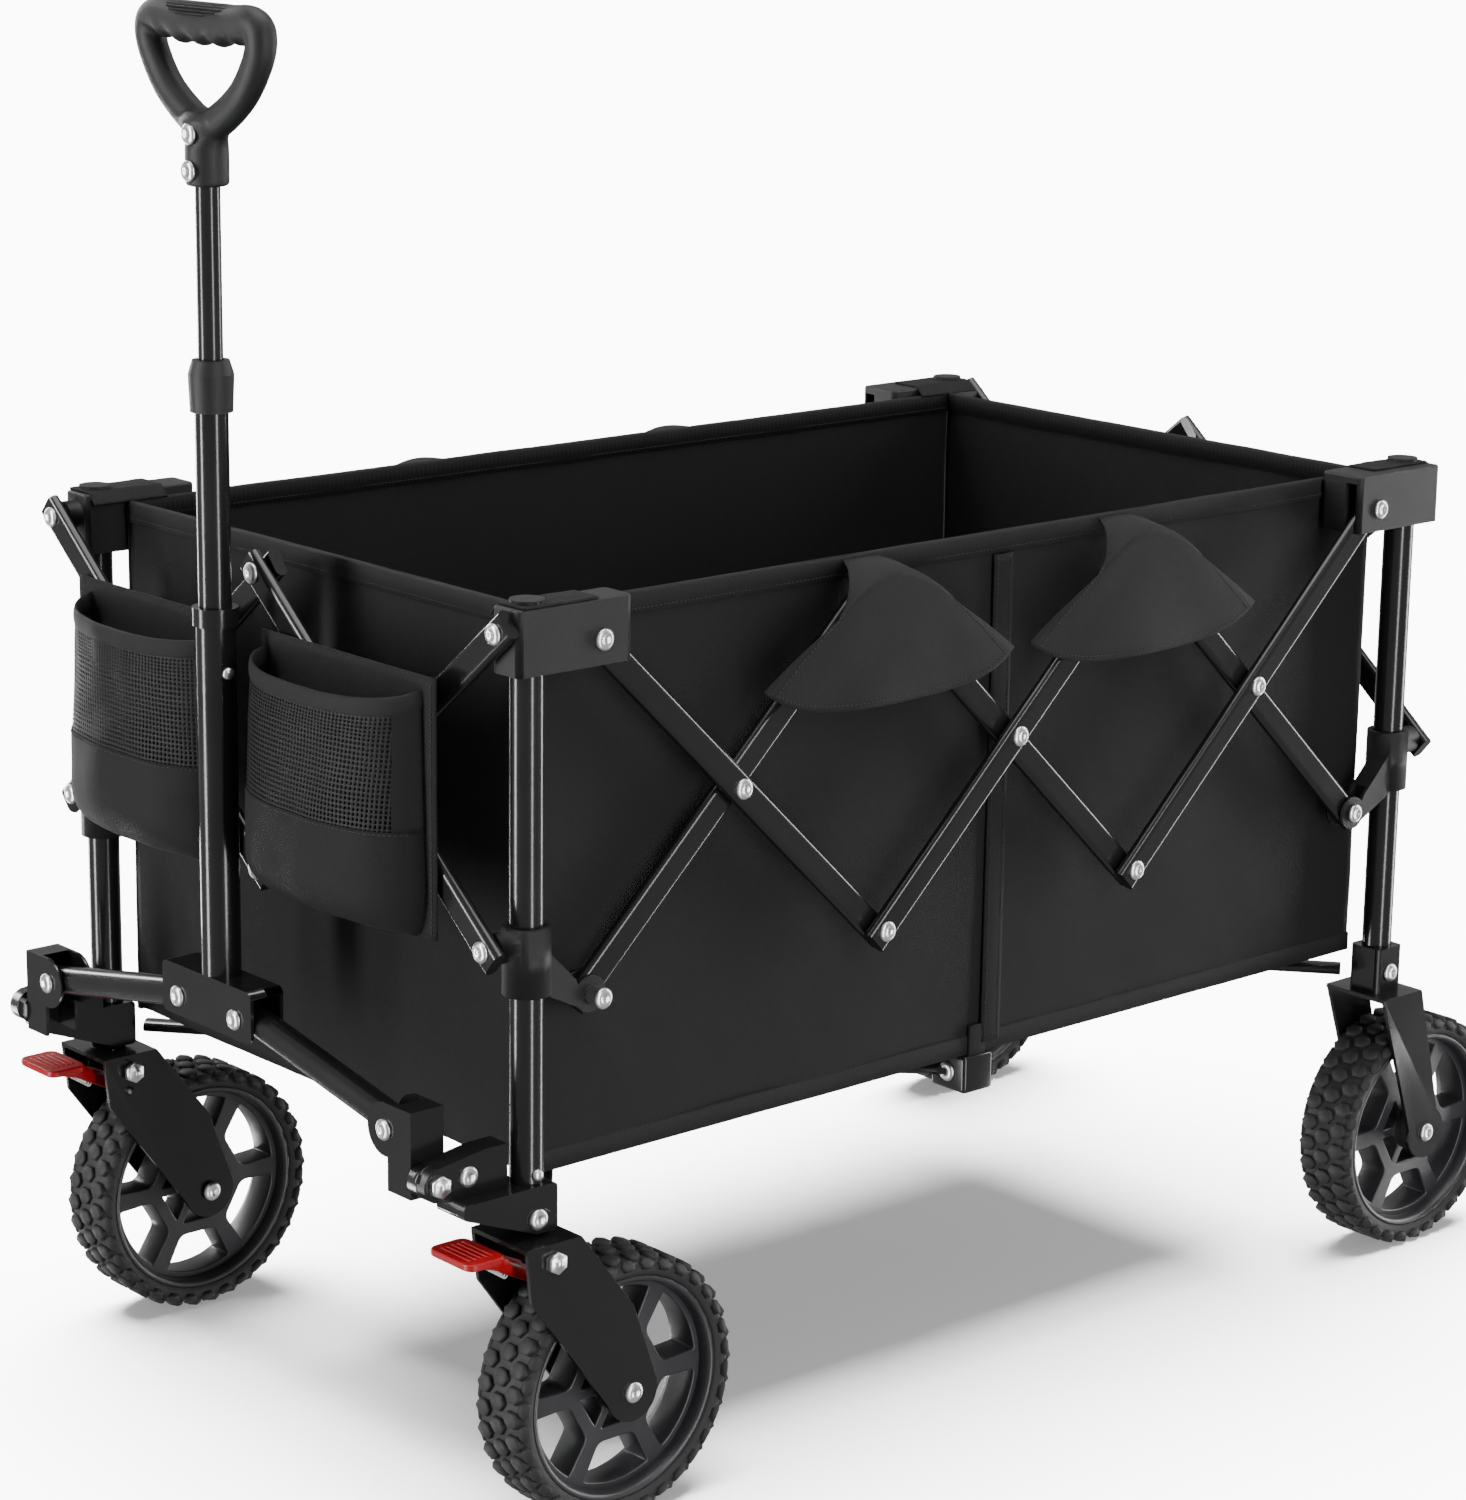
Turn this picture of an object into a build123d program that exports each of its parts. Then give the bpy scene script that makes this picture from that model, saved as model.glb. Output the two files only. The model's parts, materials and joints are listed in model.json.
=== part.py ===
from build123d import *
import os
from math import atan2, cos, degrees, hypot, radians, sin

# Folding camp wagon, in millimetres. +Z is up and the pull handle is at the -Y end.
# The origin is on the ground, under the middle of the wagon's overall box.

# ---- Frame ----
post_spacing_length = 820
post_spacing_width = 480
post_diameter = 22
post_wall = 1.5
post_bottom = 240
post_top = 602
slide_clearance = 0.35
running_clearance = 0.05
part_gap = 0.35

# ---- Scissor bars: three crossed pairs on each side, two on each end ----
bar_width = 20
bar_thickness = 9
bar_wall = 1.2
bar_overhang = 11
plug_depth = 8
layer_gap = 1
side_pivot_inset = 50
side_top = 584
side_bottom = 354
side_layer_inset = 6
end_top = 595
end_bottom = 397
end_layer_gap = 1
rivet_radius = 3
rivet_head_radius = 6.5
rivet_head_height = 2

# ---- Corner brackets, sliders and sockets ----
bracket_bottom = 568
bracket_top = 610
bracket_wall = 3
bracket_cheek = 4
bracket_reach = 73
cap_height = 4
slider_bottom = 364
slider_top = 408
slider_wall = 4.5
cheek = 3
socket_bottom = 209.5
socket_wall = 3
gusset_reach = 60

# ---- Wheels, casters and brakes ----
wheel_radius = 90
wheel_clearance = 27
tyre_width = 46
tyre_depth = 13
rim_lip = 4
hub_radius = 15
spoke_count = 6
spoke_width = 11
rim_width = 36
axle_radius = 4
fork_top = 207
fork_plate = 3
fork_gap = 51
fork_depth = 44
fork_foot_radius = 20
caster_trail = 65
rear_trail = 36
stem_radius = 5
tie_bolt_drop = 12
pedal_pivot_drop = 27
pedal_width = 45
pedal_length = 26
pedal_thickness = 4
pedal_reach = 62

# ---- Pull handle ----
linkage_reach = 64
tilt_reach = 69
tilt_height = 253
cross_tube_diameter = 20
cross_tube_inset = 45
cross_outer_z = 279.4
cross_inner_x = 32.7
cross_inner_z = 310.2
plate = 2.5
block_half_width = 51
block_bottom = 297
block_top = 332
hinge_width = 42
hinge_inset = 18
hinge_bottom = 240
hinge_top = 297
lower_tube_diameter = 26
middle_tube_diameter = 21.6
upper_tube_diameter = 16
handle_wall = 1.6
lower_tube_top = 572
middle_tube_bottom = 482
middle_tube_top = 706
upper_tube_bottom = 640
collar_bottom = 703
collar_top = 736
grip_bottom = 845
grip_top = 958
grip_width = 138
grip_bar = 22

# ---- Fabric tub ----
fabric = 3
tub_clearance = 0.5
tub_end_gap = 15
tub_floor = 240
tub_rim = 604
pocket_inner_x = 16
pocket_edge_gap = 34
pocket_depth = 33
pocket_bottom = 395
pocket_rim = 552
pocket_wall = 2

# ---- Floor arms ----
arm_width = 16
arm_thickness = 8
arm_height = 222
arm_hub_radius = 28
mid_bracket_length = 72
mid_bracket_height = 28

half_length = post_spacing_length / 2
half_width = post_spacing_width / 2
side_cell = (post_spacing_length - 2 * side_pivot_inset) / 3
end_cell = half_width
layer_step = bar_thickness + layer_gap
post_radius = post_diameter / 2
slider_radius = post_radius + slider_wall
end_inner_layer = slider_radius + bar_thickness / 2 + end_layer_gap
socket_half = post_radius + socket_wall
bracket_inner = half_width - post_radius - bracket_wall
side_inner_layer = half_width - side_layer_inset
tub_half_width = half_width - slider_radius - tub_clearance
tub_half_length = half_length - tub_end_gap
pocket_outer_x = tub_half_width - pocket_edge_gap
cross_outer_x = half_width - cross_tube_inset
hinge_outer = half_width - hinge_inset
hinge_inner = hinge_outer - hinge_width
axle_height = fork_top - wheel_clearance - wheel_radius
wheel_rise = wheel_radius - axle_height
bracket_face = half_length + end_inner_layer - bar_thickness / 2 - part_gap
linkage = half_length + linkage_reach
tilt_axis = half_length + tilt_reach
front_reach = tilt_axis + bar_overhang
rear_reach = half_length + rear_trail + wheel_radius
centre_y = (front_reach - rear_reach) / 2

sides = {"right": 1, "left": -1}
ends = {"front": -1, "rear": 1}

os.makedirs("parts", exist_ok=True)


def place(side, end, across, along, height):
    """A point by its distances from the wagon's middle; larger wheels raise the whole frame."""
    return (side * across, centre_y + end * along, height + wheel_rise)


def slab(low, high, mode=Mode.ADD):
    """A box between two opposite corners."""
    middle = [(a + b) / 2 for a, b in zip(low, high)]
    with Locations(tuple(middle)):
        Box(*[abs(a - b) for a, b in zip(low, high)], mode=mode)


def rod(start, end, radius, mode=Mode.ADD):
    """A round bar from start to end."""
    path = Vector(*end) - Vector(*start)
    with Locations(Plane(origin=start, z_dir=path).location):
        Cylinder(radius, path.length, align=(Align.CENTER, Align.CENTER, Align.MIN), mode=mode)


def rivet(face, outward, depth):
    """A domed rivet head on a face, with its shank going in by a depth."""
    face = Vector(*face)
    outward = Vector(*outward)
    rod(face - outward * depth, face, rivet_radius)
    with Locations(Plane(origin=face, z_dir=outward).location):
        Cone(
            rivet_head_radius,
            rivet_head_radius - rivet_head_height / 2,
            rivet_head_height,
            align=(Align.CENTER, Align.CENTER, Align.MIN),
        )


def flat_bar(start, end, outward, own_rivets):
    """A flat oval tube with end plugs; own_rivets gives each pivot's shank depth, or None for a hole."""
    start = Vector(*start)
    end = Vector(*end)
    outward = Vector(*outward)
    run = (end - start).normalized()
    across = outward.cross(run)
    length = (end - start).length + 2 * bar_overhang
    tail = start - run * bar_overhang
    pivots = [start, (start + end) / 2, end]
    with BuildPart() as bar:
        with BuildSketch(Plane(origin=tail, x_dir=across, z_dir=run)):
            SlotOverall(bar_width, bar_thickness)
            SlotOverall(bar_width - 2 * bar_wall, bar_thickness - 2 * bar_wall, mode=Mode.SUBTRACT)
        extrude(amount=length)
        for pivot, depth in zip(pivots, own_rivets):
            hole = rivet_radius + (running_clearance if depth is None else 0)
            skin = outward * bar_thickness
            rod(pivot - skin, pivot + skin, hole, Mode.SUBTRACT)
    pieces = [bar.part]
    for corner, direction in ((tail, run), (end + run * bar_overhang, run * -1)):
        with BuildPart() as plug:
            with BuildSketch(Plane(origin=corner, x_dir=across, z_dir=direction)):
                SlotOverall(bar_width - 2 * bar_wall, bar_thickness - 2 * bar_wall)
            extrude(amount=plug_depth - rivet_radius)
        pieces.append(plug.part)
    for pivot, depth in zip(pivots, own_rivets):
        if depth is not None:
            with BuildPart() as pin:
                rivet(pivot + outward * (bar_thickness / 2), outward, depth)
            pieces.append(pin.part)
    return Compound(children=pieces)


# ---- Side scissors: layer 0 is nearest the fabric, and each pivot's rivet is in the outer bar ----
through_one = bar_thickness
through_two = bar_thickness + layer_step
side_bars = {
    "front_falling": (0, "falling", 1, (None, through_two, None)),
    "front_rising": (0, "rising", 0, (None, None, None)),
    "middle_falling": (1, "falling", 1, (through_two, None, None)),
    "middle_rising": (1, "rising", 2, (through_two, through_two, through_two)),
    "rear_falling": (2, "falling", 1, (None, None, None)),
    "rear_rising": (2, "rising", 2, (through_two, through_two, None)),
}
for side_name, side in sides.items():
    for bar_name, (cell, slope, layer, own_rivets) in side_bars.items():
        near = -half_length + side_pivot_inset + cell * side_cell
        across = side_inner_layer + layer * layer_step
        first, last = (side_top, side_bottom) if slope == "falling" else (side_bottom, side_top)
        side_bar = flat_bar(
            place(side, 1, across, near, first),
            place(side, 1, across, near + side_cell, last),
            (side, 0, 0),
            own_rivets,
        )
        side_bar.label = f"side_bar_{side_name}_{bar_name}"
        export_step(side_bar, f"parts/side_bar_{side_name}_{bar_name}.step")

# ---- End scissors: the falling bar leaves the post at the top, the rising one at the slider ----
end_bars = {
    "right_falling": (1, "falling", 0, (through_one + 2.4, None, None)),
    "right_rising": (1, "rising", 1, (through_one, through_two, through_two)),
    "left_falling": (-1, "falling", 1, (through_one + 8, through_two, through_two)),
    "left_rising": (-1, "rising", 0, (through_one, None, None)),
}
for end_name, end in ends.items():
    for bar_name, (side, slope, layer, own_rivets) in end_bars.items():
        along = half_length + end_inner_layer + layer * layer_step
        first, last = (end_top, end_bottom) if slope == "falling" else (end_bottom, end_top)
        end_bar = flat_bar(
            place(side, end, end_cell, along, first),
            place(side, end, 0, along, last),
            (0, end, 0),
            own_rivets,
        )
        end_bar.label = f"end_bar_{end_name}_{bar_name}"
        export_step(end_bar, f"parts/end_bar_{end_name}_{bar_name}.step")

for end_name, end in ends.items():
    for side_name, side in sides.items():
        corner = f"{end_name}_{side_name}"
        outer_end_layer = side < 0
        top_layer = 1 if end < 0 else 2
        bottom_layer = 0 if end < 0 else 1
        pivot_along = half_length - side_pivot_inset

        # ---- Post: a round steel tube ----
        with BuildPart() as post:
            rod(
                place(side, end, half_width, half_length, post_bottom - 20),
                place(side, end, half_width, half_length, post_top),
                post_radius,
            )
            rod(
                place(side, end, half_width, half_length, post_bottom - 20),
                place(side, end, half_width, half_length, post_top),
                post_radius - post_wall,
                Mode.SUBTRACT,
            )
        post.part.label = f"post_{corner}"
        export_step(post.part, f"parts/post_{corner}.step")

        # ---- Top bracket: a moulded box on the post, slotted for the side bar's end ----
        slot_middle = side_inner_layer + top_layer * layer_step
        slot_half = bar_thickness / 2 + part_gap
        slot_depth = pivot_along + bar_overhang + 5
        bracket_outer = slot_middle + slot_half + bracket_cheek
        with BuildPart() as top_bracket:
            slab(
                place(side, end, bracket_inner, half_length - bracket_reach, bracket_bottom),
                place(side, end, bracket_outer, bracket_face, bracket_top),
            )
            upright = top_bracket.edges().filter_by(Axis.Z)
            fillet(upright, 4)
            rim_edges = top_bracket.faces().sort_by(Axis.Z)[-1].edges()
            fillet(rim_edges, 2)
            slab(
                place(side, end, slot_middle - slot_half, half_length - bracket_reach - 1, bracket_bottom - 1),
                place(side, end, slot_middle + slot_half, slot_depth, bracket_top - 6),
                Mode.SUBTRACT,
            )
            rod(
                place(side, end, half_width, half_length, bracket_bottom - 1),
                place(side, end, half_width, half_length, post_top),
                post_radius,
                Mode.SUBTRACT,
            )
            rod(
                place(side, end, half_width, half_length, bracket_top - 1),
                place(side, end, half_width, half_length, bracket_top + cap_height),
                post_radius,
            )
            if outer_end_layer:
                rod(
                    place(side, end, half_width, bracket_face - 1, end_top),
                    place(side, end, half_width, bracket_face + layer_step, end_top),
                    bar_width / 2,
                )
            pin_depth = 8 if outer_end_layer else 2.4
            pin_face = bracket_face + (layer_step if outer_end_layer else 0)
            rod(
                place(side, end, half_width, pin_face - pin_depth, end_top),
                place(side, end, half_width, pin_face + 1, end_top),
                rivet_radius + running_clearance,
                Mode.SUBTRACT,
            )
            rivet(
                place(side, end, bracket_outer, pivot_along, side_top),
                (side, 0, 0),
                bracket_outer - bracket_inner - cheek / 2,
            )
        top_bracket.part.label = f"top_bracket_{corner}"
        export_step(top_bracket.part, f"parts/top_bracket_{corner}.step")

        # ---- Slider: a sleeve on the post with a forked arm for the side bar and a pad for the end bar ----
        fork_middle = side_inner_layer + bottom_layer * layer_step
        fork_inner = fork_middle - slot_half - cheek
        fork_outer = fork_middle + slot_half + cheek
        pad_face = bracket_face + (0 if outer_end_layer else layer_step)
        arm_plane = Plane(
            origin=place(side, end, fork_inner, 0, 0),
            x_dir=(0, end, 0),
            z_dir=(side, 0, 0),
        )
        lift = 1 if side * end > 0 else -1
        with BuildPart() as slider:
            rod(
                place(side, end, half_width, half_length, slider_bottom),
                place(side, end, half_width, half_length, slider_top),
                slider_radius,
            )
            with BuildSketch(arm_plane):
                with BuildLine():
                    Polyline(
                        (half_length - 2, lift * (slider_top - 6)),
                        (pivot_along + 12, lift * (side_bottom + 12)),
                        (pivot_along, lift * (side_bottom - bar_width / 2 - 2)),
                        (half_length - 2, lift * (slider_bottom + 2)),
                        close=True,
                    )
                make_face()
                with Locations((pivot_along, lift * side_bottom)):
                    Circle(bar_width / 2 + 2)
            extrude(amount=fork_outer - fork_inner)
            slab(
                place(side, end, fork_middle - slot_half, pivot_along - 30, side_bottom - 30),
                place(side, end, fork_middle + slot_half, pivot_along + bar_overhang + 6, side_bottom + 60),
                Mode.SUBTRACT,
            )
            rod(
                place(side, end, half_width, half_length, end_bottom),
                place(side, end, half_width, pad_face, end_bottom),
                bar_width / 2,
            )
            rod(
                place(side, end, half_width, half_length, slider_bottom - 60),
                place(side, end, half_width, half_length, slider_top + 30),
                post_radius + slide_clearance,
                Mode.SUBTRACT,
            )
            rivet(
                place(side, end, fork_outer, pivot_along, side_bottom),
                (side, 0, 0),
                fork_outer - fork_inner,
            )
        slider.part.label = f"slider_{corner}"
        export_step(slider.part, f"parts/slider_{corner}.step")

# ---- Front sockets: a cup on the post's foot, a gusset that reaches forward, and the handle's link plate ----
lift_of = {"right": -1, "left": 1}
for side_name, side in sides.items():
    gusset_plane = Plane(
        origin=place(side, -1, half_width - socket_half, 0, 0),
        x_dir=(0, -1, 0),
        z_dir=(side, 0, 0),
    )
    lift = lift_of[side_name]
    with BuildPart() as socket:
        with BuildSketch(gusset_plane):
            with BuildLine():
                Polyline(
                    (half_length - socket_half, lift * socket_bottom),
                    (half_length + 2, lift * socket_bottom),
                    (half_length + gusset_reach, lift * (post_bottom - 8)),
                    (half_length + gusset_reach, lift * (post_bottom + 1)),
                    (half_length - socket_half, lift * (post_bottom + 1)),
                    close=True,
                )
            make_face()
        extrude(amount=2 * socket_half)
        fillet(socket.edges().filter_by(Axis.X), 3)
        rod(
            place(side, -1, half_width, half_length, post_bottom - 20),
            place(side, -1, half_width, half_length, post_bottom + 20),
            post_radius,
            Mode.SUBTRACT,
        )
        rod(
            place(side, -1, half_width, half_length, socket_bottom - 1),
            place(side, -1, half_width, half_length, post_bottom),
            stem_radius + running_clearance,
            Mode.SUBTRACT,
        )
        rivet(
            place(side, -1, half_width + socket_half, half_length - 2, socket_bottom + 10),
            (side, 0, 0),
            2,
        )
        link_inner = hinge_outer + part_gap
        with BuildSketch(
            Plane(origin=place(side, -1, link_inner, 0, 0), x_dir=(0, -1, 0), z_dir=(side, 0, 0))
        ):
            with BuildLine():
                Polyline(
                    (half_length + post_radius + 4, lift * (post_bottom - 4)),
                    (half_length + gusset_reach - 20, lift * (post_bottom - 4)),
                    (tilt_axis, lift * (tilt_height - 11)),
                    (tilt_axis, lift * (tilt_height + 11)),
                    (half_length + post_radius + 22, lift * (tilt_height + 16)),
                    (half_length + post_radius + 4, lift * (tilt_height + 16)),
                    close=True,
                )
            make_face()
            with Locations((tilt_axis, lift * tilt_height)):
                Circle(11)
        extrude(amount=half_width - link_inner)
        rivet(
            place(side, -1, half_width, tilt_axis - 23, tilt_height + 1),
            (side, 0, 0),
            2,
        )
        rod(
            place(side, -1, hinge_outer - 2 * plate, tilt_axis, tilt_height),
            place(side, -1, half_width + 5, tilt_axis, tilt_height),
            rivet_radius,
        )
        with BuildSketch(
            Plane(origin=place(side, -1, half_width, tilt_axis, tilt_height), z_dir=(side, 0, 0))
        ):
            RegularPolygon(6.5, 6)
        extrude(amount=4)
    socket.part.label = f"socket_front_{side_name}"
    export_step(socket.part, f"parts/socket_front_{side_name}.step")

# ---- Rear sockets: a cup on the post's foot with the fixed wheel fork below it ----
for side_name, side in sides.items():
    hub_along = half_length + rear_trail
    fork_side = fork_gap / 2 + fork_plate
    with BuildPart() as rear_socket:
        slab(
            place(side, 1, half_width - socket_half, half_length - socket_half, fork_top - 1),
            place(side, 1, half_width + socket_half, half_length + socket_half, post_bottom + 1),
        )
        fillet(rear_socket.edges().filter_by(Axis.Z), 4)
        rod(
            place(side, 1, half_width, half_length, post_bottom - 20),
            place(side, 1, half_width, half_length, post_bottom + 20),
            post_radius,
            Mode.SUBTRACT,
        )
        slab(
            place(side, 1, half_width - fork_side, half_length - fork_depth / 2, fork_top - fork_plate),
            place(side, 1, half_width + fork_side, half_length + fork_depth / 2, fork_top),
        )
        for inner in (half_width - fork_side, half_width + fork_gap / 2):
            fork_plane = Plane(
                origin=place(side, 1, inner, 0, 0), x_dir=(0, 1, 0), z_dir=(side, 0, 0)
            )
            with BuildSketch(fork_plane):
                with BuildLine():
                    Polyline(
                        (half_length - fork_depth / 2, side * fork_top),
                        (half_length + fork_depth / 2, side * fork_top),
                        (hub_along + fork_foot_radius - 4, side * axle_height),
                        (hub_along - fork_foot_radius + 2, side * axle_height),
                        close=True,
                    )
                make_face()
                with Locations((hub_along, side * axle_height)):
                    Circle(fork_foot_radius)
            extrude(amount=fork_plate)
        rod(
            place(side, 1, half_width - fork_side - 5, hub_along, axle_height),
            place(side, 1, half_width + fork_side, hub_along, axle_height),
            axle_radius,
        )
        rivet(
            place(side, 1, half_width + fork_side, hub_along, axle_height),
            (side, 0, 0),
            2,
        )
        rivet(
            place(side, 1, half_width + socket_half, half_length, socket_bottom + 12),
            (side, 0, 0),
            2,
        )
    rear_socket.part.label = f"wheel_bracket_rear_{side_name}"
    export_step(rear_socket.part, f"parts/wheel_bracket_rear_{side_name}.step")

# ---- Front caster forks: a top plate on a swivel stem, two trailing cheeks and the tie bolt ----
for side_name, side in sides.items():
    hub_along = half_length - caster_trail
    fork_side = fork_gap / 2 + fork_plate
    lift = lift_of[side_name]
    with BuildPart() as caster:
        slab(
            place(side, -1, half_width - fork_side, half_length - fork_depth / 2, fork_top - fork_plate),
            place(side, -1, half_width + fork_side, half_length + fork_depth / 2, fork_top),
        )
        rod(
            place(side, -1, half_width, half_length, fork_top - 1),
            place(side, -1, half_width, half_length, post_bottom - 1),
            stem_radius,
        )
        rod(
            place(side, -1, half_width, half_length, fork_top - 1),
            place(side, -1, half_width, half_length, socket_bottom - part_gap),
            socket_half - 2,
        )
        for inner in (half_width - fork_side, half_width + fork_gap / 2):
            fork_plane = Plane(
                origin=place(side, -1, inner, 0, 0), x_dir=(0, -1, 0), z_dir=(side, 0, 0)
            )
            with BuildSketch(fork_plane):
                with BuildLine():
                    Polyline(
                        (half_length - fork_depth / 2, lift * fork_top),
                        (half_length + fork_depth / 2, lift * fork_top),
                        (half_length + fork_depth / 2 - 4, lift * (fork_top - 36)),
                        (hub_along + fork_foot_radius - 2, lift * (axle_height - 8)),
                        (hub_along - fork_foot_radius, lift * (axle_height + 4)),
                        (hub_along - fork_foot_radius + 20, lift * (axle_height + 60)),
                        close=True,
                    )
                make_face()
                with Locations((hub_along, lift * axle_height)):
                    Circle(fork_foot_radius)
            extrude(amount=fork_plate)
        for bolt_along, bolt_height, bolt_radius in (
            (hub_along, axle_height, axle_radius),
            (half_length, fork_top - tie_bolt_drop, rivet_radius),
            (half_length, fork_top - pedal_pivot_drop, rivet_radius),
        ):
            rod(
                place(side, -1, half_width - fork_side - 4, bolt_along, bolt_height),
                place(side, -1, half_width + fork_side, bolt_along, bolt_height),
                bolt_radius,
            )
        for bolt_along, bolt_height in (
            (hub_along, axle_height),
            (half_length, fork_top - tie_bolt_drop),
        ):
            rivet(
                place(side, -1, half_width + fork_side, bolt_along, bolt_height),
                (side, 0, 0),
                2,
            )
    caster.part.label = f"caster_fork_{side_name}"
    export_step(caster.part, f"parts/caster_fork_{side_name}.step")

# ---- Brake pedals: a red tread plate on an arm that turns on a pin in the fork ----
for side_name, side in sides.items():
    lift = lift_of[side_name]
    pivot_z = fork_top - pedal_pivot_drop
    arm_half = 9
    with BuildPart() as pedal:
        with BuildSketch(
            Plane(
                origin=place(side, -1, half_width - arm_half, 0, 0),
                x_dir=(0, -1, 0),
                z_dir=(side, 0, 0),
            )
        ):
            with Locations((half_length, lift * pivot_z)):
                Circle(7)
            with BuildLine():
                Polyline(
                    (half_length - 3, lift * (pivot_z + 6)),
                    (half_length + pedal_reach - pedal_length + 6, lift * (fork_top - 4)),
                    (half_length + pedal_reach - 8, lift * (fork_top - 4)),
                    (half_length + pedal_reach - 8, lift * (fork_top - 10)),
                    (half_length + 4, lift * (pivot_z - 7)),
                    close=True,
                )
            make_face()
        extrude(amount=2 * arm_half)
        rod(
            place(side, -1, half_width - 20, half_length, pivot_z),
            place(side, -1, half_width + 20, half_length, pivot_z),
            rivet_radius + running_clearance,
            Mode.SUBTRACT,
        )
        slab(
            place(side, -1, half_width - pedal_width / 2, half_length + pedal_reach - pedal_length, fork_top - 6),
            place(
                side,
                -1,
                half_width + pedal_width / 2,
                half_length + pedal_reach,
                fork_top - 6 + pedal_thickness,
            ),
        )
        fillet(pedal.faces().sort_by(Axis.Z)[-1].edges().filter_by(Axis.X), 1.5)
    pedal.part.label = f"brake_pedal_{side_name}"
    export_step(pedal.part, f"parts/brake_pedal_{side_name}.step")

# ---- Wheels: a six-spoke moulded rim in a solid tyre ----
for end_name, end in ends.items():
    for side_name, side in sides.items():
        trail = -caster_trail if end < 0 else rear_trail
        hub = place(side, end, half_width, half_length + trail, axle_height)
        hub_plane = Plane(origin=hub, x_dir=(0, 1, 0), z_dir=(1, 0, 0))
        rim_radius = wheel_radius - tyre_depth
        with BuildPart() as rim:
            with BuildSketch(hub_plane):
                Circle(rim_radius)
                Circle(rim_radius - rim_lip, mode=Mode.SUBTRACT)
                with PolarLocations(rim_radius / 2, spoke_count):
                    Rectangle(rim_radius - 1, spoke_width)
                Circle(hub_radius)
            extrude(amount=rim_width / 2, both=True)
            with BuildSketch(hub_plane):
                Circle(hub_radius - 3)
            extrude(amount=tyre_width / 2 + 1, both=True)
            with BuildSketch(hub_plane):
                Circle(axle_radius + running_clearance)
            extrude(amount=tyre_width, both=True, mode=Mode.SUBTRACT)
        with BuildPart() as tyre:
            with BuildSketch(hub_plane):
                Circle(wheel_radius)
                Circle(rim_radius, mode=Mode.SUBTRACT)
            extrude(amount=tyre_width / 2, both=True)
            crown = tyre.edges().filter_by(GeomType.CIRCLE).sort_by(SortBy.RADIUS)[-2:]
            fillet(crown, 5)
        wheel = Compound(children=[rim.part, tyre.part])
        wheel.label = f"wheel_{end_name}_{side_name}"
        export_step(wheel, f"parts/wheel_{end_name}_{side_name}.step")

# ---- Handle linkage: hinge brackets on the links, two sloping tubes and the channel between them ----
linkage_front = linkage + cross_tube_diameter / 2 + part_gap + plate
hinge_roof_inner = cross_outer_x + cross_tube_diameter / 2 - 1
linkage_back = linkage - cross_tube_diameter / 2 - part_gap - plate
for side_name, side in sides.items():
    lift = lift_of[side_name]
    turn = -lift
    with BuildPart() as hinge:
        with BuildSketch(
            Plane(origin=place(side, -1, 0, linkage_back, 0), x_dir=(side, 0, 0), z_dir=(0, -1, 0))
        ):
            with BuildLine():
                Polyline(
                    (cross_outer_x, turn * hinge_top),
                    (hinge_outer, turn * hinge_top),
                    (hinge_outer, turn * hinge_bottom),
                    (cross_outer_x + 3, turn * hinge_bottom),
                    (cross_outer_x + 3, turn * (hinge_bottom + 22)),
                    (cross_outer_x, turn * (hinge_bottom + 22)),
                    close=True,
                )
            make_face()
            with Locations((cross_outer_x, turn * cross_outer_z)):
                Circle(hinge_top - cross_outer_z)
        extrude(amount=linkage_front - linkage_back)
        slab(
            place(side, -1, hinge_inner - 20, linkage_back + plate, hinge_bottom - 1),
            place(side, -1, hinge_outer - plate, linkage_front - plate, hinge_top - plate),
            Mode.SUBTRACT,
        )
        slab(
            place(side, -1, hinge_inner - 20, linkage_back + plate, hinge_bottom - 1),
            place(side, -1, hinge_roof_inner, linkage_front - plate, hinge_top + 1),
            Mode.SUBTRACT,
        )
        rod(
            place(side, -1, hinge_outer - 3 * plate, tilt_axis, tilt_height),
            place(side, -1, hinge_outer + plate, tilt_axis, tilt_height),
            rivet_radius + running_clearance,
            Mode.SUBTRACT,
        )
        rivet(
            place(side, -1, cross_outer_x, linkage_front, cross_outer_z),
            (0, -1, 0),
            linkage_front - linkage_back,
        )
    hinge.part.label = f"handle_hinge_{side_name}"
    export_step(hinge.part, f"parts/handle_hinge_{side_name}.step")

    outer = Vector(*place(side, -1, cross_outer_x, linkage, cross_outer_z))
    inner = Vector(*place(side, -1, cross_inner_x, linkage, cross_inner_z))
    run = (inner - outer).normalized()
    tail = outer - run * bar_overhang
    nose = inner + run * bar_overhang
    with BuildPart() as cross_tube:
        rod(tail, nose, cross_tube_diameter / 2)
        rod(tail, nose, cross_tube_diameter / 2 - handle_wall, Mode.SUBTRACT)
        for pivot in (outer, inner):
            reach = Vector(0, cross_tube_diameter, 0)
            rod(pivot - reach, pivot + reach, rivet_radius + running_clearance, Mode.SUBTRACT)
    cross_tube.part.label = f"cross_tube_{side_name}"
    export_step(cross_tube.part, f"parts/cross_tube_{side_name}.step")

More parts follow.
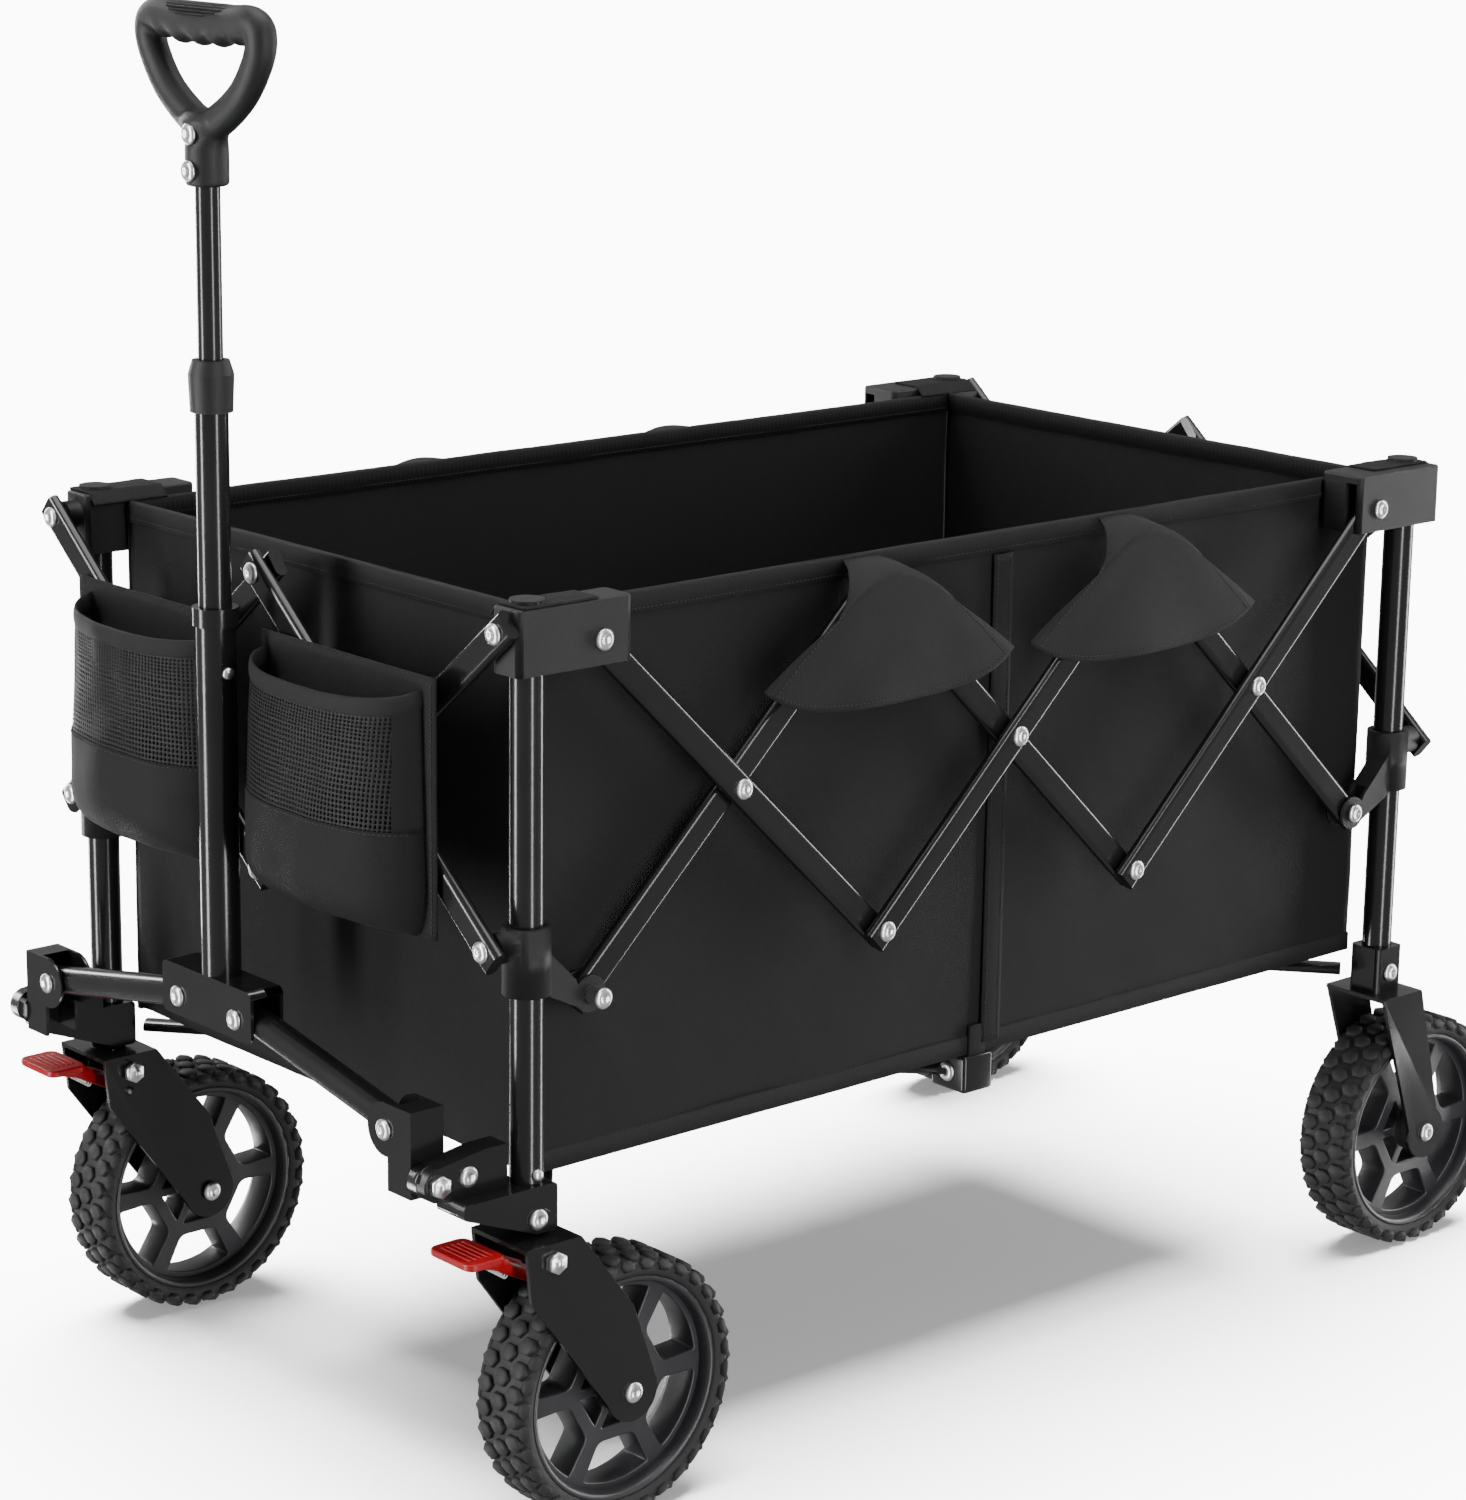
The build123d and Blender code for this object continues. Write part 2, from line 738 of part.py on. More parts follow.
with BuildPart() as channel:
    slab(
        place(1, -1, -block_half_width, linkage_back, block_bottom),
        place(1, -1, block_half_width, linkage_front, block_top),
    )
    fillet(channel.edges().filter_by(Axis.Y), 5)
    slab(
        place(1, -1, -block_half_width - 1, linkage_back + plate, block_bottom - 1),
        place(1, -1, block_half_width + 1, linkage_front - plate, block_top - 2 * plate),
        Mode.SUBTRACT,
    )
    rivet(place(1, -1, cross_inner_x, linkage_front, cross_inner_z), (0, -1, 0), linkage_front - linkage_back)
    rivet(place(-1, -1, cross_inner_x, linkage_front, cross_inner_z), (0, -1, 0), plate)
channel.part.label = "handle_channel"
export_step(channel.part, "parts/handle_channel.step")

# ---- Telescopic handle: three tubes, a release collar and a D-shaped grip ----
lower_radius = lower_tube_diameter / 2
middle_radius = middle_tube_diameter / 2
upper_radius = upper_tube_diameter / 2
with BuildPart() as lower_tube:
    rod(place(1, -1, 0, linkage, block_top), place(1, -1, 0, linkage, lower_tube_top), lower_radius)
    rod(
        place(1, -1, 0, linkage, lower_tube_top - 7),
        place(1, -1, 0, linkage, lower_tube_top + 5),
        lower_radius + 2,
    )
    rod(
        place(1, -1, 0, linkage, block_top),
        place(1, -1, 0, linkage, lower_tube_top + 6),
        middle_radius + slide_clearance,
        Mode.SUBTRACT,
    )
lower_tube.part.label = "handle_lower_tube"
export_step(lower_tube.part, "parts/handle_lower_tube.step")

with BuildPart() as middle_tube:
    rod(
        place(1, -1, 0, linkage, middle_tube_bottom),
        place(1, -1, 0, linkage, middle_tube_top),
        middle_radius,
    )
    rod(
        place(1, -1, 0, linkage, middle_tube_bottom),
        place(1, -1, 0, linkage, middle_tube_top),
        upper_radius + slide_clearance,
        Mode.SUBTRACT,
    )
middle_tube.part.label = "handle_middle_tube"
export_step(middle_tube.part, "parts/handle_middle_tube.step")

with BuildPart() as collar:
    with BuildSketch(Plane(origin=place(1, -1, 0, linkage, 0), x_dir=(1, 0, 0), z_dir=(0, -1, 0))):
        with BuildLine():
            Polyline(
                (upper_radius + slide_clearance, collar_top),
                (upper_radius + 4, collar_top),
                (middle_radius + 4, collar_top - 9),
                (middle_radius + 3, collar_bottom),
                (middle_radius, collar_bottom),
                (middle_radius, middle_tube_top),
                (upper_radius + slide_clearance, middle_tube_top),
                close=True,
            )
        make_face()
    revolve(axis=Axis(place(1, -1, 0, linkage, 0), (0, 0, 1)))
collar.part.label = "handle_collar"
export_step(collar.part, "parts/handle_collar.step")

with BuildPart() as upper_tube:
    rod(
        place(1, -1, 0, linkage, upper_tube_bottom),
        place(1, -1, 0, linkage, grip_bottom + 5),
        upper_radius,
    )
    rod(
        place(1, -1, 0, linkage, upper_tube_bottom),
        place(1, -1, 0, linkage, grip_bottom + 5),
        upper_radius - handle_wall,
        Mode.SUBTRACT,
    )
upper_tube.part.label = "handle_upper_tube"
export_step(upper_tube.part, "parts/handle_upper_tube.step")

grip_half = grip_width / 2
with BuildPart() as grip:
    with BuildSketch(Plane(origin=place(1, -1, 0, linkage - grip_bar / 2, 0), x_dir=(1, 0, 0), z_dir=(0, -1, 0))):
        with BuildLine():
            Polyline(
                (-14, grip_bottom),
                (14, grip_bottom),
                (24, grip_bottom + 30),
                (grip_half, grip_bottom + 50),
                (grip_half, grip_top),
                (-grip_half, grip_top),
                (-grip_half, grip_bottom + 50),
                (-24, grip_bottom + 30),
                close=True,
            )
        make_face()
        with BuildLine(mode=Mode.PRIVATE) as hand_hole:
            Polyline(
                (-grip_half + grip_bar, grip_top - grip_bar),
                (grip_half - grip_bar, grip_top - grip_bar),
                (grip_half - grip_bar, grip_bottom + 62),
                (22, grip_bottom + 47),
                (-22, grip_bottom + 47),
                (-grip_half + grip_bar, grip_bottom + 62),
                close=True,
            )
        make_face(hand_hole.edges(), mode=Mode.SUBTRACT)
    extrude(amount=grip_bar)
    fillet(grip.edges().filter_by(Axis.Y), 8)
    rod(
        place(1, -1, 0, linkage, grip_bottom - 1),
        place(1, -1, 0, linkage, grip_bottom + 5),
        upper_radius,
        Mode.SUBTRACT,
    )
grip.part.label = "handle_grip"
export_step(grip.part, "parts/handle_grip.step")

# ---- Fabric tub: floor, side walls, end walls and the two bottle pockets ----
with BuildPart() as tub_floor_panel:
    slab(
        place(1, 1, -tub_half_width + fabric, -tub_half_length + fabric, tub_floor - fabric),
        place(1, 1, tub_half_width - fabric, tub_half_length - fabric, tub_floor),
    )
tub_floor_panel.part.label = "tub_floor"
export_step(tub_floor_panel.part, "parts/tub_floor.step")

with BuildPart() as side_walls:
    for side in sides.values():
        slab(
            place(side, 1, tub_half_width - fabric, -tub_half_length, tub_floor - fabric),
            place(side, 1, tub_half_width, tub_half_length, tub_rim),
        )
side_walls.part.label = "tub_side_walls"
export_step(side_walls.part, "parts/tub_side_walls.step")

with BuildPart() as end_walls:
    for end in ends.values():
        slab(
            place(1, end, -tub_half_width + fabric, tub_half_length - fabric, tub_floor - fabric),
            place(1, end, tub_half_width - fabric, tub_half_length, tub_rim),
        )
end_walls.part.label = "tub_end_walls"
export_step(end_walls.part, "parts/tub_end_walls.step")

pocket_back = half_length + end_inner_layer + layer_step + bar_thickness / 2 + rivet_head_height + 0.5
with BuildPart() as pockets:
    for side in sides.values():
        slab(
            place(side, -1, pocket_inner_x, pocket_back, pocket_bottom),
            place(side, -1, pocket_outer_x, pocket_back + pocket_depth, pocket_rim),
        )
        slab(
            place(side, -1, pocket_inner_x + pocket_wall, pocket_back + pocket_wall, pocket_bottom + pocket_wall),
            place(
                side,
                -1,
                pocket_outer_x - pocket_wall,
                pocket_back + pocket_depth - pocket_wall,
                pocket_rim + 1,
            ),
            Mode.SUBTRACT,
        )
pockets.part.label = "front_pockets"
export_step(pockets.part, "parts/front_pockets.step")

# ---- Floor arms: two hubs, each with four arms, and a bracket at the middle of each side ----
hub_along = post_spacing_length / 4
arm_end_across = half_width - socket_half - part_gap
arm_plane_height = arm_height - arm_thickness / 2
arm_pieces = []
for end in ends.values():
    with BuildPart() as arm_hub:
        with BuildSketch(Plane(origin=place(1, end, 0, hub_along, arm_plane_height))):
            Circle(arm_hub_radius)
        extrude(amount=arm_thickness)
    arm_pieces.append(arm_hub.part)
    for side in sides.values():
        for reach_along in (half_length - socket_half - 8, 12):
            start = Vector(*place(side, end, 0, hub_along, arm_height))
            finish = Vector(*place(side, end, arm_end_across - 10, reach_along, arm_height))
            run = (finish - start).normalized()
            with BuildPart() as arm:
                with BuildSketch(
                    Plane(origin=start + run * arm_hub_radius, x_dir=(-run.Y, run.X, 0), z_dir=run)
                ):
                    Rectangle(arm_width, arm_thickness)
                extrude(amount=(finish - start).length - arm_hub_radius)
            arm_pieces.append(arm.part)
for side in sides.values():
    with BuildPart() as mid_bracket:
        slab(
            place(side, 1, arm_end_across - 2, -mid_bracket_length / 2, arm_height - mid_bracket_height / 2),
            place(side, 1, arm_end_across + 3, mid_bracket_length / 2, arm_height + mid_bracket_height / 2),
        )
        fillet(mid_bracket.edges().filter_by(Axis.X), 6)
        rivet(place(side, 1, arm_end_across + 3, 0, arm_height), (side, 0, 0), 2)
    arm_pieces.append(mid_bracket.part)
floor_arms = Compound(children=arm_pieces)
floor_arms.label = "floor_arms"
export_step(floor_arms, "parts/floor_arms.step")
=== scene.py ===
import json
from math import asin, cos, hypot, pi, radians, sin, sqrt

import bmesh
import bpy
from mathutils import Matrix, Vector, noise

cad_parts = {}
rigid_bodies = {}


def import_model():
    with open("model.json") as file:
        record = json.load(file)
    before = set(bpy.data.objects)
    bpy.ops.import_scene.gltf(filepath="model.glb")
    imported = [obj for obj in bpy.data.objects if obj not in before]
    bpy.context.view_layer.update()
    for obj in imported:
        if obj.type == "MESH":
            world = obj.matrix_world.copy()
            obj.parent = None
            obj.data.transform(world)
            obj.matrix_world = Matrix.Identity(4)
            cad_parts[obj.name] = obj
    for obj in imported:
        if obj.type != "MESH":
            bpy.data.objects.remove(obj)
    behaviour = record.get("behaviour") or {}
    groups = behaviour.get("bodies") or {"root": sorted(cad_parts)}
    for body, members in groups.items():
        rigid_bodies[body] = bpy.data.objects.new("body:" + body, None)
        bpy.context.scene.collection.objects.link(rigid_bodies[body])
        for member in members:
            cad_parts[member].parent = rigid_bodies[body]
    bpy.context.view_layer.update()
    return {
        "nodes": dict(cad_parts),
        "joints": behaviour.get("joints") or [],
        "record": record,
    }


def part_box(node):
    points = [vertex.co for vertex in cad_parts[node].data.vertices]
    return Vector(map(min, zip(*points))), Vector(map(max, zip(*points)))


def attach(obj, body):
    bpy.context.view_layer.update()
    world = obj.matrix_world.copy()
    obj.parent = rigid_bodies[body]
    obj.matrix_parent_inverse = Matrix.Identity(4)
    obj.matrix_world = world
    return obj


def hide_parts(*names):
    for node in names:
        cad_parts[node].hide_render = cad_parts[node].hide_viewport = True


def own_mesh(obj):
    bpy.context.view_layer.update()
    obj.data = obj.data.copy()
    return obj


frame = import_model()


# ---- Frame: steel tubes, flat bars and pressed brackets ----
# Welded and riveted steel in black powder coat, with top brackets and sliding sleeves of moulded nylon.
# The pressed and cast pieces get their small rounded edges here; the tubes and bars keep their own faces.
joints = {joint["name"]: joint for joint in frame["joints"]}
side_names = {"right": 1, "left": -1}
end_names = {"front": -1, "rear": 1}
ends_and_sides = [(end, side) for end in end_names for side in side_names]
post = {
    f"{end}_{side}": (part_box(f"post_{end}_{side}")[0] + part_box(f"post_{end}_{side}")[1]) / 2
    for end, side in ends_and_sides
}
middle_y = (post["front_right"].y + post["rear_right"].y) / 2


def pivot(name):
    """Where a joint's pivot is at rest."""
    return Vector(joints[name]["pos_m"])


class Value:
    """A socket between nodes, which takes ordinary maths."""

    def __init__(self, finish, socket):
        self.finish = finish
        self.socket = socket

    def maths(self, operation, first, second=0.0):
        return self.finish.node("ShaderNodeMath", {"operation": operation}, {0: first, 1: second})[0]

    def __add__(self, other):
        return self.maths("ADD", self, other)

    __radd__ = __add__

    def __sub__(self, other):
        return self.maths("SUBTRACT", self, other)

    def __rsub__(self, other):
        return self.maths("SUBTRACT", other, self)

    def __mul__(self, other):
        return self.maths("MULTIPLY", self, other)

    __rmul__ = __mul__

    def __truediv__(self, other):
        return self.maths("DIVIDE", self, other)

    def __pow__(self, other):
        return self.maths("POWER", self, other)

    def above(self, edge):
        return self.maths("GREATER_THAN", self, edge)

    def sine(self):
        return self.maths("SINE", self)

    def size(self):
        return self.maths("ABSOLUTE", self)


class Outputs:
    """A node's outputs, by name or number."""

    def __init__(self, finish, node):
        self.finish = finish
        self.node = node

    def __getitem__(self, key):
        return Value(self.finish, self.node.outputs[key])


class Finish:
    """One material, built round a Principled shader."""

    def __init__(self, name, colour, roughness, **shader_values):
        self.material = bpy.data.materials.new(name)
        self.material.use_nodes = True
        self.tree = self.material.node_tree
        self.tree.nodes.clear()
        look = {"Base Color": (*colour, 1), "Roughness": roughness}
        self.shader = self.node("ShaderNodeBsdfPrincipled", {}, look)
        for key, value in shader_values.items():
            self.set(key.replace("_", " "), value)
        self.node("ShaderNodeOutputMaterial", {}, {"Surface": self.shader[0]})

    def node(self, kind, settings=None, values=None):
        node = self.tree.nodes.new(kind)
        for key, value in (settings or {}).items():
            setattr(node, key, value)
        for key, value in (values or {}).items():
            self.feed(node.inputs[key], value)
        return Outputs(self, node)

    def feed(self, socket, value):
        if isinstance(value, Value):
            self.tree.links.new(value.socket, socket)
        else:
            socket.default_value = value

    def set(self, key, value):
        self.feed(self.shader.node.inputs[key], value)

    def noise(self, place, scale, detail=2.0):
        return self.node(
            "ShaderNodeTexNoise", {}, {"Vector": place, "Scale": scale, "Detail": detail, "Roughness": 0.55}
        )["Fac"]

    def between(self, factor, first, second):
        """A colour that goes from first to second as factor goes from 0 to 1."""
        mixed = self.node(
            "ShaderNodeMix", {"data_type": "RGBA"}, {"Factor": factor, "A": (*first, 1), "B": (*second, 1)}
        )
        return Value(self, next(out for out in mixed.node.outputs if out.type == "RGBA"))

    def relief(self, height, depth):
        """Raises the surface by height, up to depth in metres."""
        bump = self.node("ShaderNodeBump", {}, {"Height": height, "Distance": depth, "Strength": 1.0})
        self.set("Normal", bump[0])

    def spot(self):
        return self.node("ShaderNodeTexCoord")["Object"]

    def cloth(self):
        return self.node("ShaderNodeTexCoord")["UV"]


def powder_coat():
    """Semi-gloss black powder coat: a fine orange peel, with a slightly duller haze in patches."""
    finish = Finish("powder_coat", (0.006, 0.006, 0.0065), 0.2, Specular_IOR_Level=0.42)
    peel = finish.noise(finish.spot(), 450.0)
    haze = finish.noise(finish.spot(), 18.0, 4.0)
    finish.set("Roughness", 0.14 + haze * 0.10)
    finish.set("Base Color", finish.between(haze, (0.0045, 0.0045, 0.005), (0.009, 0.009, 0.0095)))
    finish.relief(peel, 0.00003)
    return finish.material


def moulded_nylon():
    """Matt black nylon with the fine grain of a spark-eroded mould."""
    finish = Finish("moulded_nylon", (0.0062, 0.0062, 0.0066), 0.45, Specular_IOR_Level=0.3)
    grain = finish.noise(finish.spot(), 1600.0, 3.0)
    patches = finish.noise(finish.spot(), 25.0, 3.0)
    finish.set("Roughness", 0.42 + patches * 0.18)
    finish.set("Base Color", finish.between(patches, (0.0045, 0.0045, 0.0048), (0.008, 0.008, 0.0085)))
    finish.relief(grain, 0.00015)
    return finish.material


def modifier(made, kind, **settings):
    added = made.modifiers.new(kind.lower(), kind)
    for key, value in settings.items():
        setattr(added, key, value)
    return made


def plain(made):
    """Turns a piece's modifiers into its own faces."""
    evaluated = made.evaluated_get(bpy.context.evaluated_depsgraph_get())
    mesh = bpy.data.meshes.new_from_object(evaluated)
    made.modifiers.clear()
    made.data = mesh
    return made


def placed(name, data):
    """A new object in the scene."""
    made = bpy.data.objects.new(name, data)
    bpy.context.collection.objects.link(made)
    return made


def softened(node, edge, finish):
    """A copy of a bracket with its sharp edges rounded over."""
    mesh = bpy.data.meshes.new(f"{node}_rounded")
    shape = bmesh.new()
    shape.from_mesh(frame["nodes"][node].data)
    bmesh.ops.remove_doubles(shape, verts=shape.verts, dist=2e-5)
    bmesh.ops.dissolve_limit(shape, angle_limit=radians(1.5), verts=shape.verts, edges=shape.edges)
    weight = shape.edges.layers.float.new("bevel_weight_edge")
    for line in shape.edges:
        is_sharp = line.is_manifold and line.calc_face_angle() > sharp_angle
        line[weight] = 1.0 if is_sharp and line.calc_length() > 3 * edge else 0.0
    shape.to_mesh(mesh)
    shape.free()
    for name in ("custom_normal", "sharp_face", "sharp_edge"):
        if name in mesh.attributes:
            mesh.attributes.remove(mesh.attributes[name])
    mesh.materials.clear()
    mesh.materials.append(finish)
    made = placed(f"{node}_rounded", mesh)
    for polygon in mesh.polygons:
        polygon.use_smooth = True
    modifier(made, "BEVEL", width=edge, segments=3, limit_method="WEIGHT")
    modifier(made, "WEIGHTED_NORMAL", keep_sharp=True, weight=80)
    return plain(made)


sharp_angle, soft_edge = radians(38), 0.0009
coat = powder_coat()
nylon = moulded_nylon()
for part in frame["record"]["subparts"]:
    cad_mesh = frame["nodes"][part["node"]].data
    cad_mesh.materials.clear()
    cad_mesh.materials.append(nylon if part["material_slot"] in ("black_nylon", "grip_plastic") else coat)
bodies_of_brackets = {"handle_channel": "handle_base"}
for side in side_names:
    bodies_of_brackets[f"handle_hinge_{side}"] = f"handle_hinge_{side}"
    bodies_of_brackets[f"caster_fork_{side}"] = f"caster_{side}"
    bodies_of_brackets[f"socket_front_{side}"] = f"front_{side}_corner"
    bodies_of_brackets[f"wheel_bracket_rear_{side}"] = f"rear_{side}_corner"
    for end in end_names:
        bodies_of_brackets[f"top_bracket_{end}_{side}"] = f"{end}_{side}_corner"
        bodies_of_brackets[f"slider_{end}_{side}"] = f"slider_{end}_{side}"
for node, body in bodies_of_brackets.items():
    is_moulded = node.startswith(("top_bracket", "slider"))
    bracket = softened(node, soft_edge, nylon if is_moulded else coat)
    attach(bracket, body)
    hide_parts(node)


# ---- Tub walls ----
# Heavy black oxford cloth hung inside the posts, drawn flat but puckered near its corners and seams.
# The share of width that the folded frame keeps is worked out from the crossed bars' own lengths and angles,
# though the cloth does not use it.
def oxford_cloth(name, tone, pitch):
    """Coated black oxford cloth: a two-by-two basket weave in the cloth's own coordinates, with soft wear."""
    finish = Finish(name, (0.008, 0.008, 0.0085), 0.7, Specular_IOR_Level=0.14)
    place = finish.node("ShaderNodeSeparateXYZ", {}, {0: finish.cloth()})
    across = (place[0] * (pi / pitch)).sine()
    along = (place[1] * (pi / pitch)).sine()
    weave = (across * along) * 0.5 + 0.5
    threads = across.size() * along.size()
    wear = finish.noise(finish.spot(), 9.0, 5.0)
    dark = tuple(tone * shade for shade in (0.0050, 0.0050, 0.0054))
    pale = tuple(tone * shade for shade in (0.0105, 0.0105, 0.0112))
    finish.set("Base Color", finish.between(weave * 0.5 + wear * 0.5, dark, pale))
    finish.set("Roughness", 0.62 + wear * 0.2)
    finish.relief(weave * 0.6 + threads * 0.4, 0.00022)
    return finish.material


def piece(name, vertices, faces, finish, uvs=None):
    """A smooth-shaded mesh, with one cloth coordinate for each point if it has any."""
    mesh = bpy.data.meshes.new(name)
    mesh.from_pydata([tuple(v) for v in vertices], [], faces)
    if uvs is not None:
        layer = mesh.uv_layers.new(name="UVMap")
        for loop in mesh.loops:
            layer.data[loop.index].uv = uvs[loop.vertex_index]
    mesh.materials.append(finish)
    for polygon in mesh.polygons:
        polygon.use_smooth = True
    return placed(name, mesh)


def grid_faces(columns, rows):
    """The faces of a grid of points that is laid out row by row."""
    firsts = [row * (columns + 1) + column for row in range(rows) for column in range(columns)]
    return [(first, first + 1, first + columns + 2, first + columns + 1) for first in firsts]


def sheet_grid(name, corner, across, upward, cells, shape, thickness, finish):
    """A cloth panel from a corner along two edges; shape(u, v) gives how far it stands off, in metres."""
    outwards = across.cross(upward).normalized()
    columns, rows = cells
    points, uvs = [], []
    for row in range(rows + 1):
        for column in range(columns + 1):
            u, v = column / columns, row / rows
            points.append(corner + across * u + upward * v + outwards * shape(u, v))
            uvs.append((u * across.length, v * upward.length))
    made = piece(name, points, grid_faces(columns, rows), finish, uvs=uvs)
    modifier(made, "SOLIDIFY", thickness=thickness, offset=0.0)
    return plain(made)


def puckers(seed, reach):
    """Slack in a hung panel: shallow folds that fan out from the corners and a soft belly between."""

    def stand_off(u, v):
        belly = 4 * u * (1 - u) * v * (1 - v) * 4
        corner_pull = (1 - v) ** 2 * (abs(2 * u - 1) ** 3)
        ripple = noise.noise(Vector((u * 7 + seed, v * 2.2, seed))) * 0.5
        ripple += noise.noise(Vector((u * 19 + v * 5, v * 5, seed + 4))) * 0.25
        return reach * (0.35 * belly + ripple * (0.45 + 0.8 * corner_pull))

    return stand_off


fold_angle = radians(joints["frame_fold"]["range_deg"][1])
ratio_of = {pair["joint"]: pair["ratio"] for pair in frame["record"]["behaviour"]["couplings"]}
post_spacing = post["rear_right"].y - post["front_right"].y
end_run = pivot("fold_front_low_centre") - pivot("fold_front_right_pivot")
end_bar_angle = asin(abs(end_run.z) / hypot(end_run.x, end_run.z))
end_fold_angle = fold_angle * ratio_of["fold_front_right_pivot"]
keep_width = cos(end_bar_angle + end_fold_angle) / cos(end_bar_angle)


def crumple_length(made, side):
    """Rides on the front post of that side, with its own copy of its mesh."""
    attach(made, f"front_{side}_corner")
    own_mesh(made)


def crumple_width(made, end, side="right"):
    """Rides on that corner's post, with its own copy of its mesh."""
    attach(made, f"{end}_{side}_corner")
    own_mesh(made)


oxford = oxford_cloth("oxford_cloth", 1.0, 0.0012)
cloth = 0.0012
cloth_inset = 0.0015
wall_low, wall_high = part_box("tub_side_walls")
end_low, end_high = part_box("tub_end_walls")
rim_height = wall_high.z
wall_height = wall_high.z - wall_low.z
wall_length = wall_high.y - wall_low.y
wall_x = wall_high.x - cloth_inset
half_end = (end_high.y - end_low.y) / 2 - cloth_inset
end_length = end_high.x - end_low.x
for side, way in side_names.items():
    wall = sheet_grid(
        f"side_wall_{side}",
        Vector((way * wall_x, wall_low.y if way > 0 else wall_high.y, wall_low.z)),
        Vector((0, way * wall_length, 0)),
        Vector((0, 0, wall_height)),
        (150, 60),
        puckers(3 + way, 0.0038),
        cloth,
        oxford,
    )
    crumple_length(wall, side)
    if way > 0:
        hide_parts("tub_side_walls")
for end, way in end_names.items():
    wall = sheet_grid(
        f"end_wall_{end}",
        Vector((end_low.x if way < 0 else end_high.x, middle_y + way * half_end, end_low.z)),
        Vector((-way * end_length, 0, 0)),
        Vector((0, 0, wall_height)),
        (90, 60),
        puckers(9 + way, 0.0045),
        cloth,
        oxford,
    )
    crumple_width(wall, end)
    if way > 0:
        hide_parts("tub_end_walls")


# ---- Tub floor ----
# Cloth over the floor arms, in two halves that each follow their own side of the frame.
floor_low, floor_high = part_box("tub_floor")
floor_length = floor_high.y - floor_low.y
halves_apart = 0.0004
for side, way in side_names.items():
    half = sheet_grid(
        f"tub_floor_{side}",
        Vector((0 if way > 0 else floor_low.x, floor_low.y, floor_high.z - cloth_inset - halves_apart * way)),
        Vector((floor_high.x, 0, 0)),
        Vector((0, floor_length, 0)),
        (40, 80),
        puckers(17 + way, 0.0010),
        cloth,
        oxford,
    )
    crumple_length(half, side)
    if way > 0:
        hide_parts("tub_floor")


# ---- Bindings, seams and stitches ----
# Folded tape sewn round the rim, a flat seam tape down the middle of each side, and a hem along the foot of
# each side wall.
def bright_rivet():
    """Zinc-plated steel with fine turning marks and a slightly uneven polish."""
    finish = Finish("bright_rivet", (0.62, 0.62, 0.63), 0.28, Metallic=1.0)
    marks = finish.noise(finish.spot(), 700.0, 3.0)
    finish.set("Roughness", 0.2 + marks * 0.22)
    finish.relief(marks, 0.00008)
    return finish.material


def scatter_tree():
    """Places a small shape on every point, standing along the point's own directions."""
    tree = bpy.data.node_groups.new("set_on_points", "GeometryNodeTree")
    for key, kind in (("Points", "Geometry"), ("Shape", "Object"), ("Finish", "Material")):
        tree.interface.new_socket(key, in_out="INPUT", socket_type=f"NodeSocket{kind}")
    tree.interface.new_socket("Geometry", in_out="OUTPUT", socket_type="NodeSocketGeometry")
    group_in = tree.nodes.new("NodeGroupInput")
    group_out = tree.nodes.new("NodeGroupOutput")
    shape = tree.nodes.new("GeometryNodeObjectInfo")
    place = tree.nodes.new("GeometryNodeInstanceOnPoints")
    stand = tree.nodes.new("FunctionNodeAlignRotationToVector")
    stand.axis = "Z"
    lie = tree.nodes.new("FunctionNodeAlignRotationToVector")
    lie.axis = "X"
    lie.pivot_axis = "Z"
    ways = {}
    for key in ("out", "along"):
        ways[key] = tree.nodes.new("GeometryNodeInputNamedAttribute")
        ways[key].data_type = "FLOAT_VECTOR"
        ways[key].inputs["Name"].default_value = key
    real = tree.nodes.new("GeometryNodeRealizeInstances")
    paint = tree.nodes.new("GeometryNodeSetMaterial")
    link = tree.links.new
    link(group_in.outputs["Points"], place.inputs["Points"])
    link(group_in.outputs["Shape"], shape.inputs["Object"])
    link(shape.outputs["Geometry"], place.inputs["Instance"])
    link(ways["out"].outputs[0], stand.inputs["Vector"])
    link(stand.outputs[0], lie.inputs["Rotation"])
    link(ways["along"].outputs[0], lie.inputs["Vector"])
    link(lie.outputs[0], place.inputs["Rotation"])
    link(place.outputs[0], real.inputs[0])
    link(real.outputs[0], paint.inputs["Geometry"])
    link(group_in.outputs["Finish"], paint.inputs["Material"])
    link(paint.outputs[0], group_out.inputs[0])
    return tree


set_on_points = scatter_tree()


def scatter(name, places, shape, finish):
    """Copies of a small shape at (point, out, along) places, as one plain mesh."""
    mesh = bpy.data.meshes.new(name)
    mesh.from_pydata([tuple(place[0]) for place in places], [], [])
    for key, index in (("out", 1), ("along", 2)):
        attribute = mesh.attributes.new(key, "FLOAT_VECTOR", "POINT")
        attribute.data.foreach_set("vector", [c for place in places for c in place[index]])
    made = placed(name, mesh)
    added = made.modifiers.new("set", "NODES")
    added.node_group = set_on_points
    sockets = {s.name: s.identifier for s in set_on_points.interface.items_tree if s.in_out == "INPUT"}
    added[sockets["Shape"]] = shape
    added[sockets["Finish"]] = finish
    plain(made)
    for polygon in made.data.polygons:
        polygon.use_smooth = True
    return made


def ring_faces(rings, sides, closed=False):
    """The faces between rings of points; closed also joins the last ring to the first."""
    faces = []
    for ring in range(rings if closed else rings - 1):
        a, b = ring * sides, (ring + 1) % rings * sides
        for step in range(sides):
            following = (step + 1) % sides
            faces.append((a + step, a + following, b + following, b + step))
    return faces


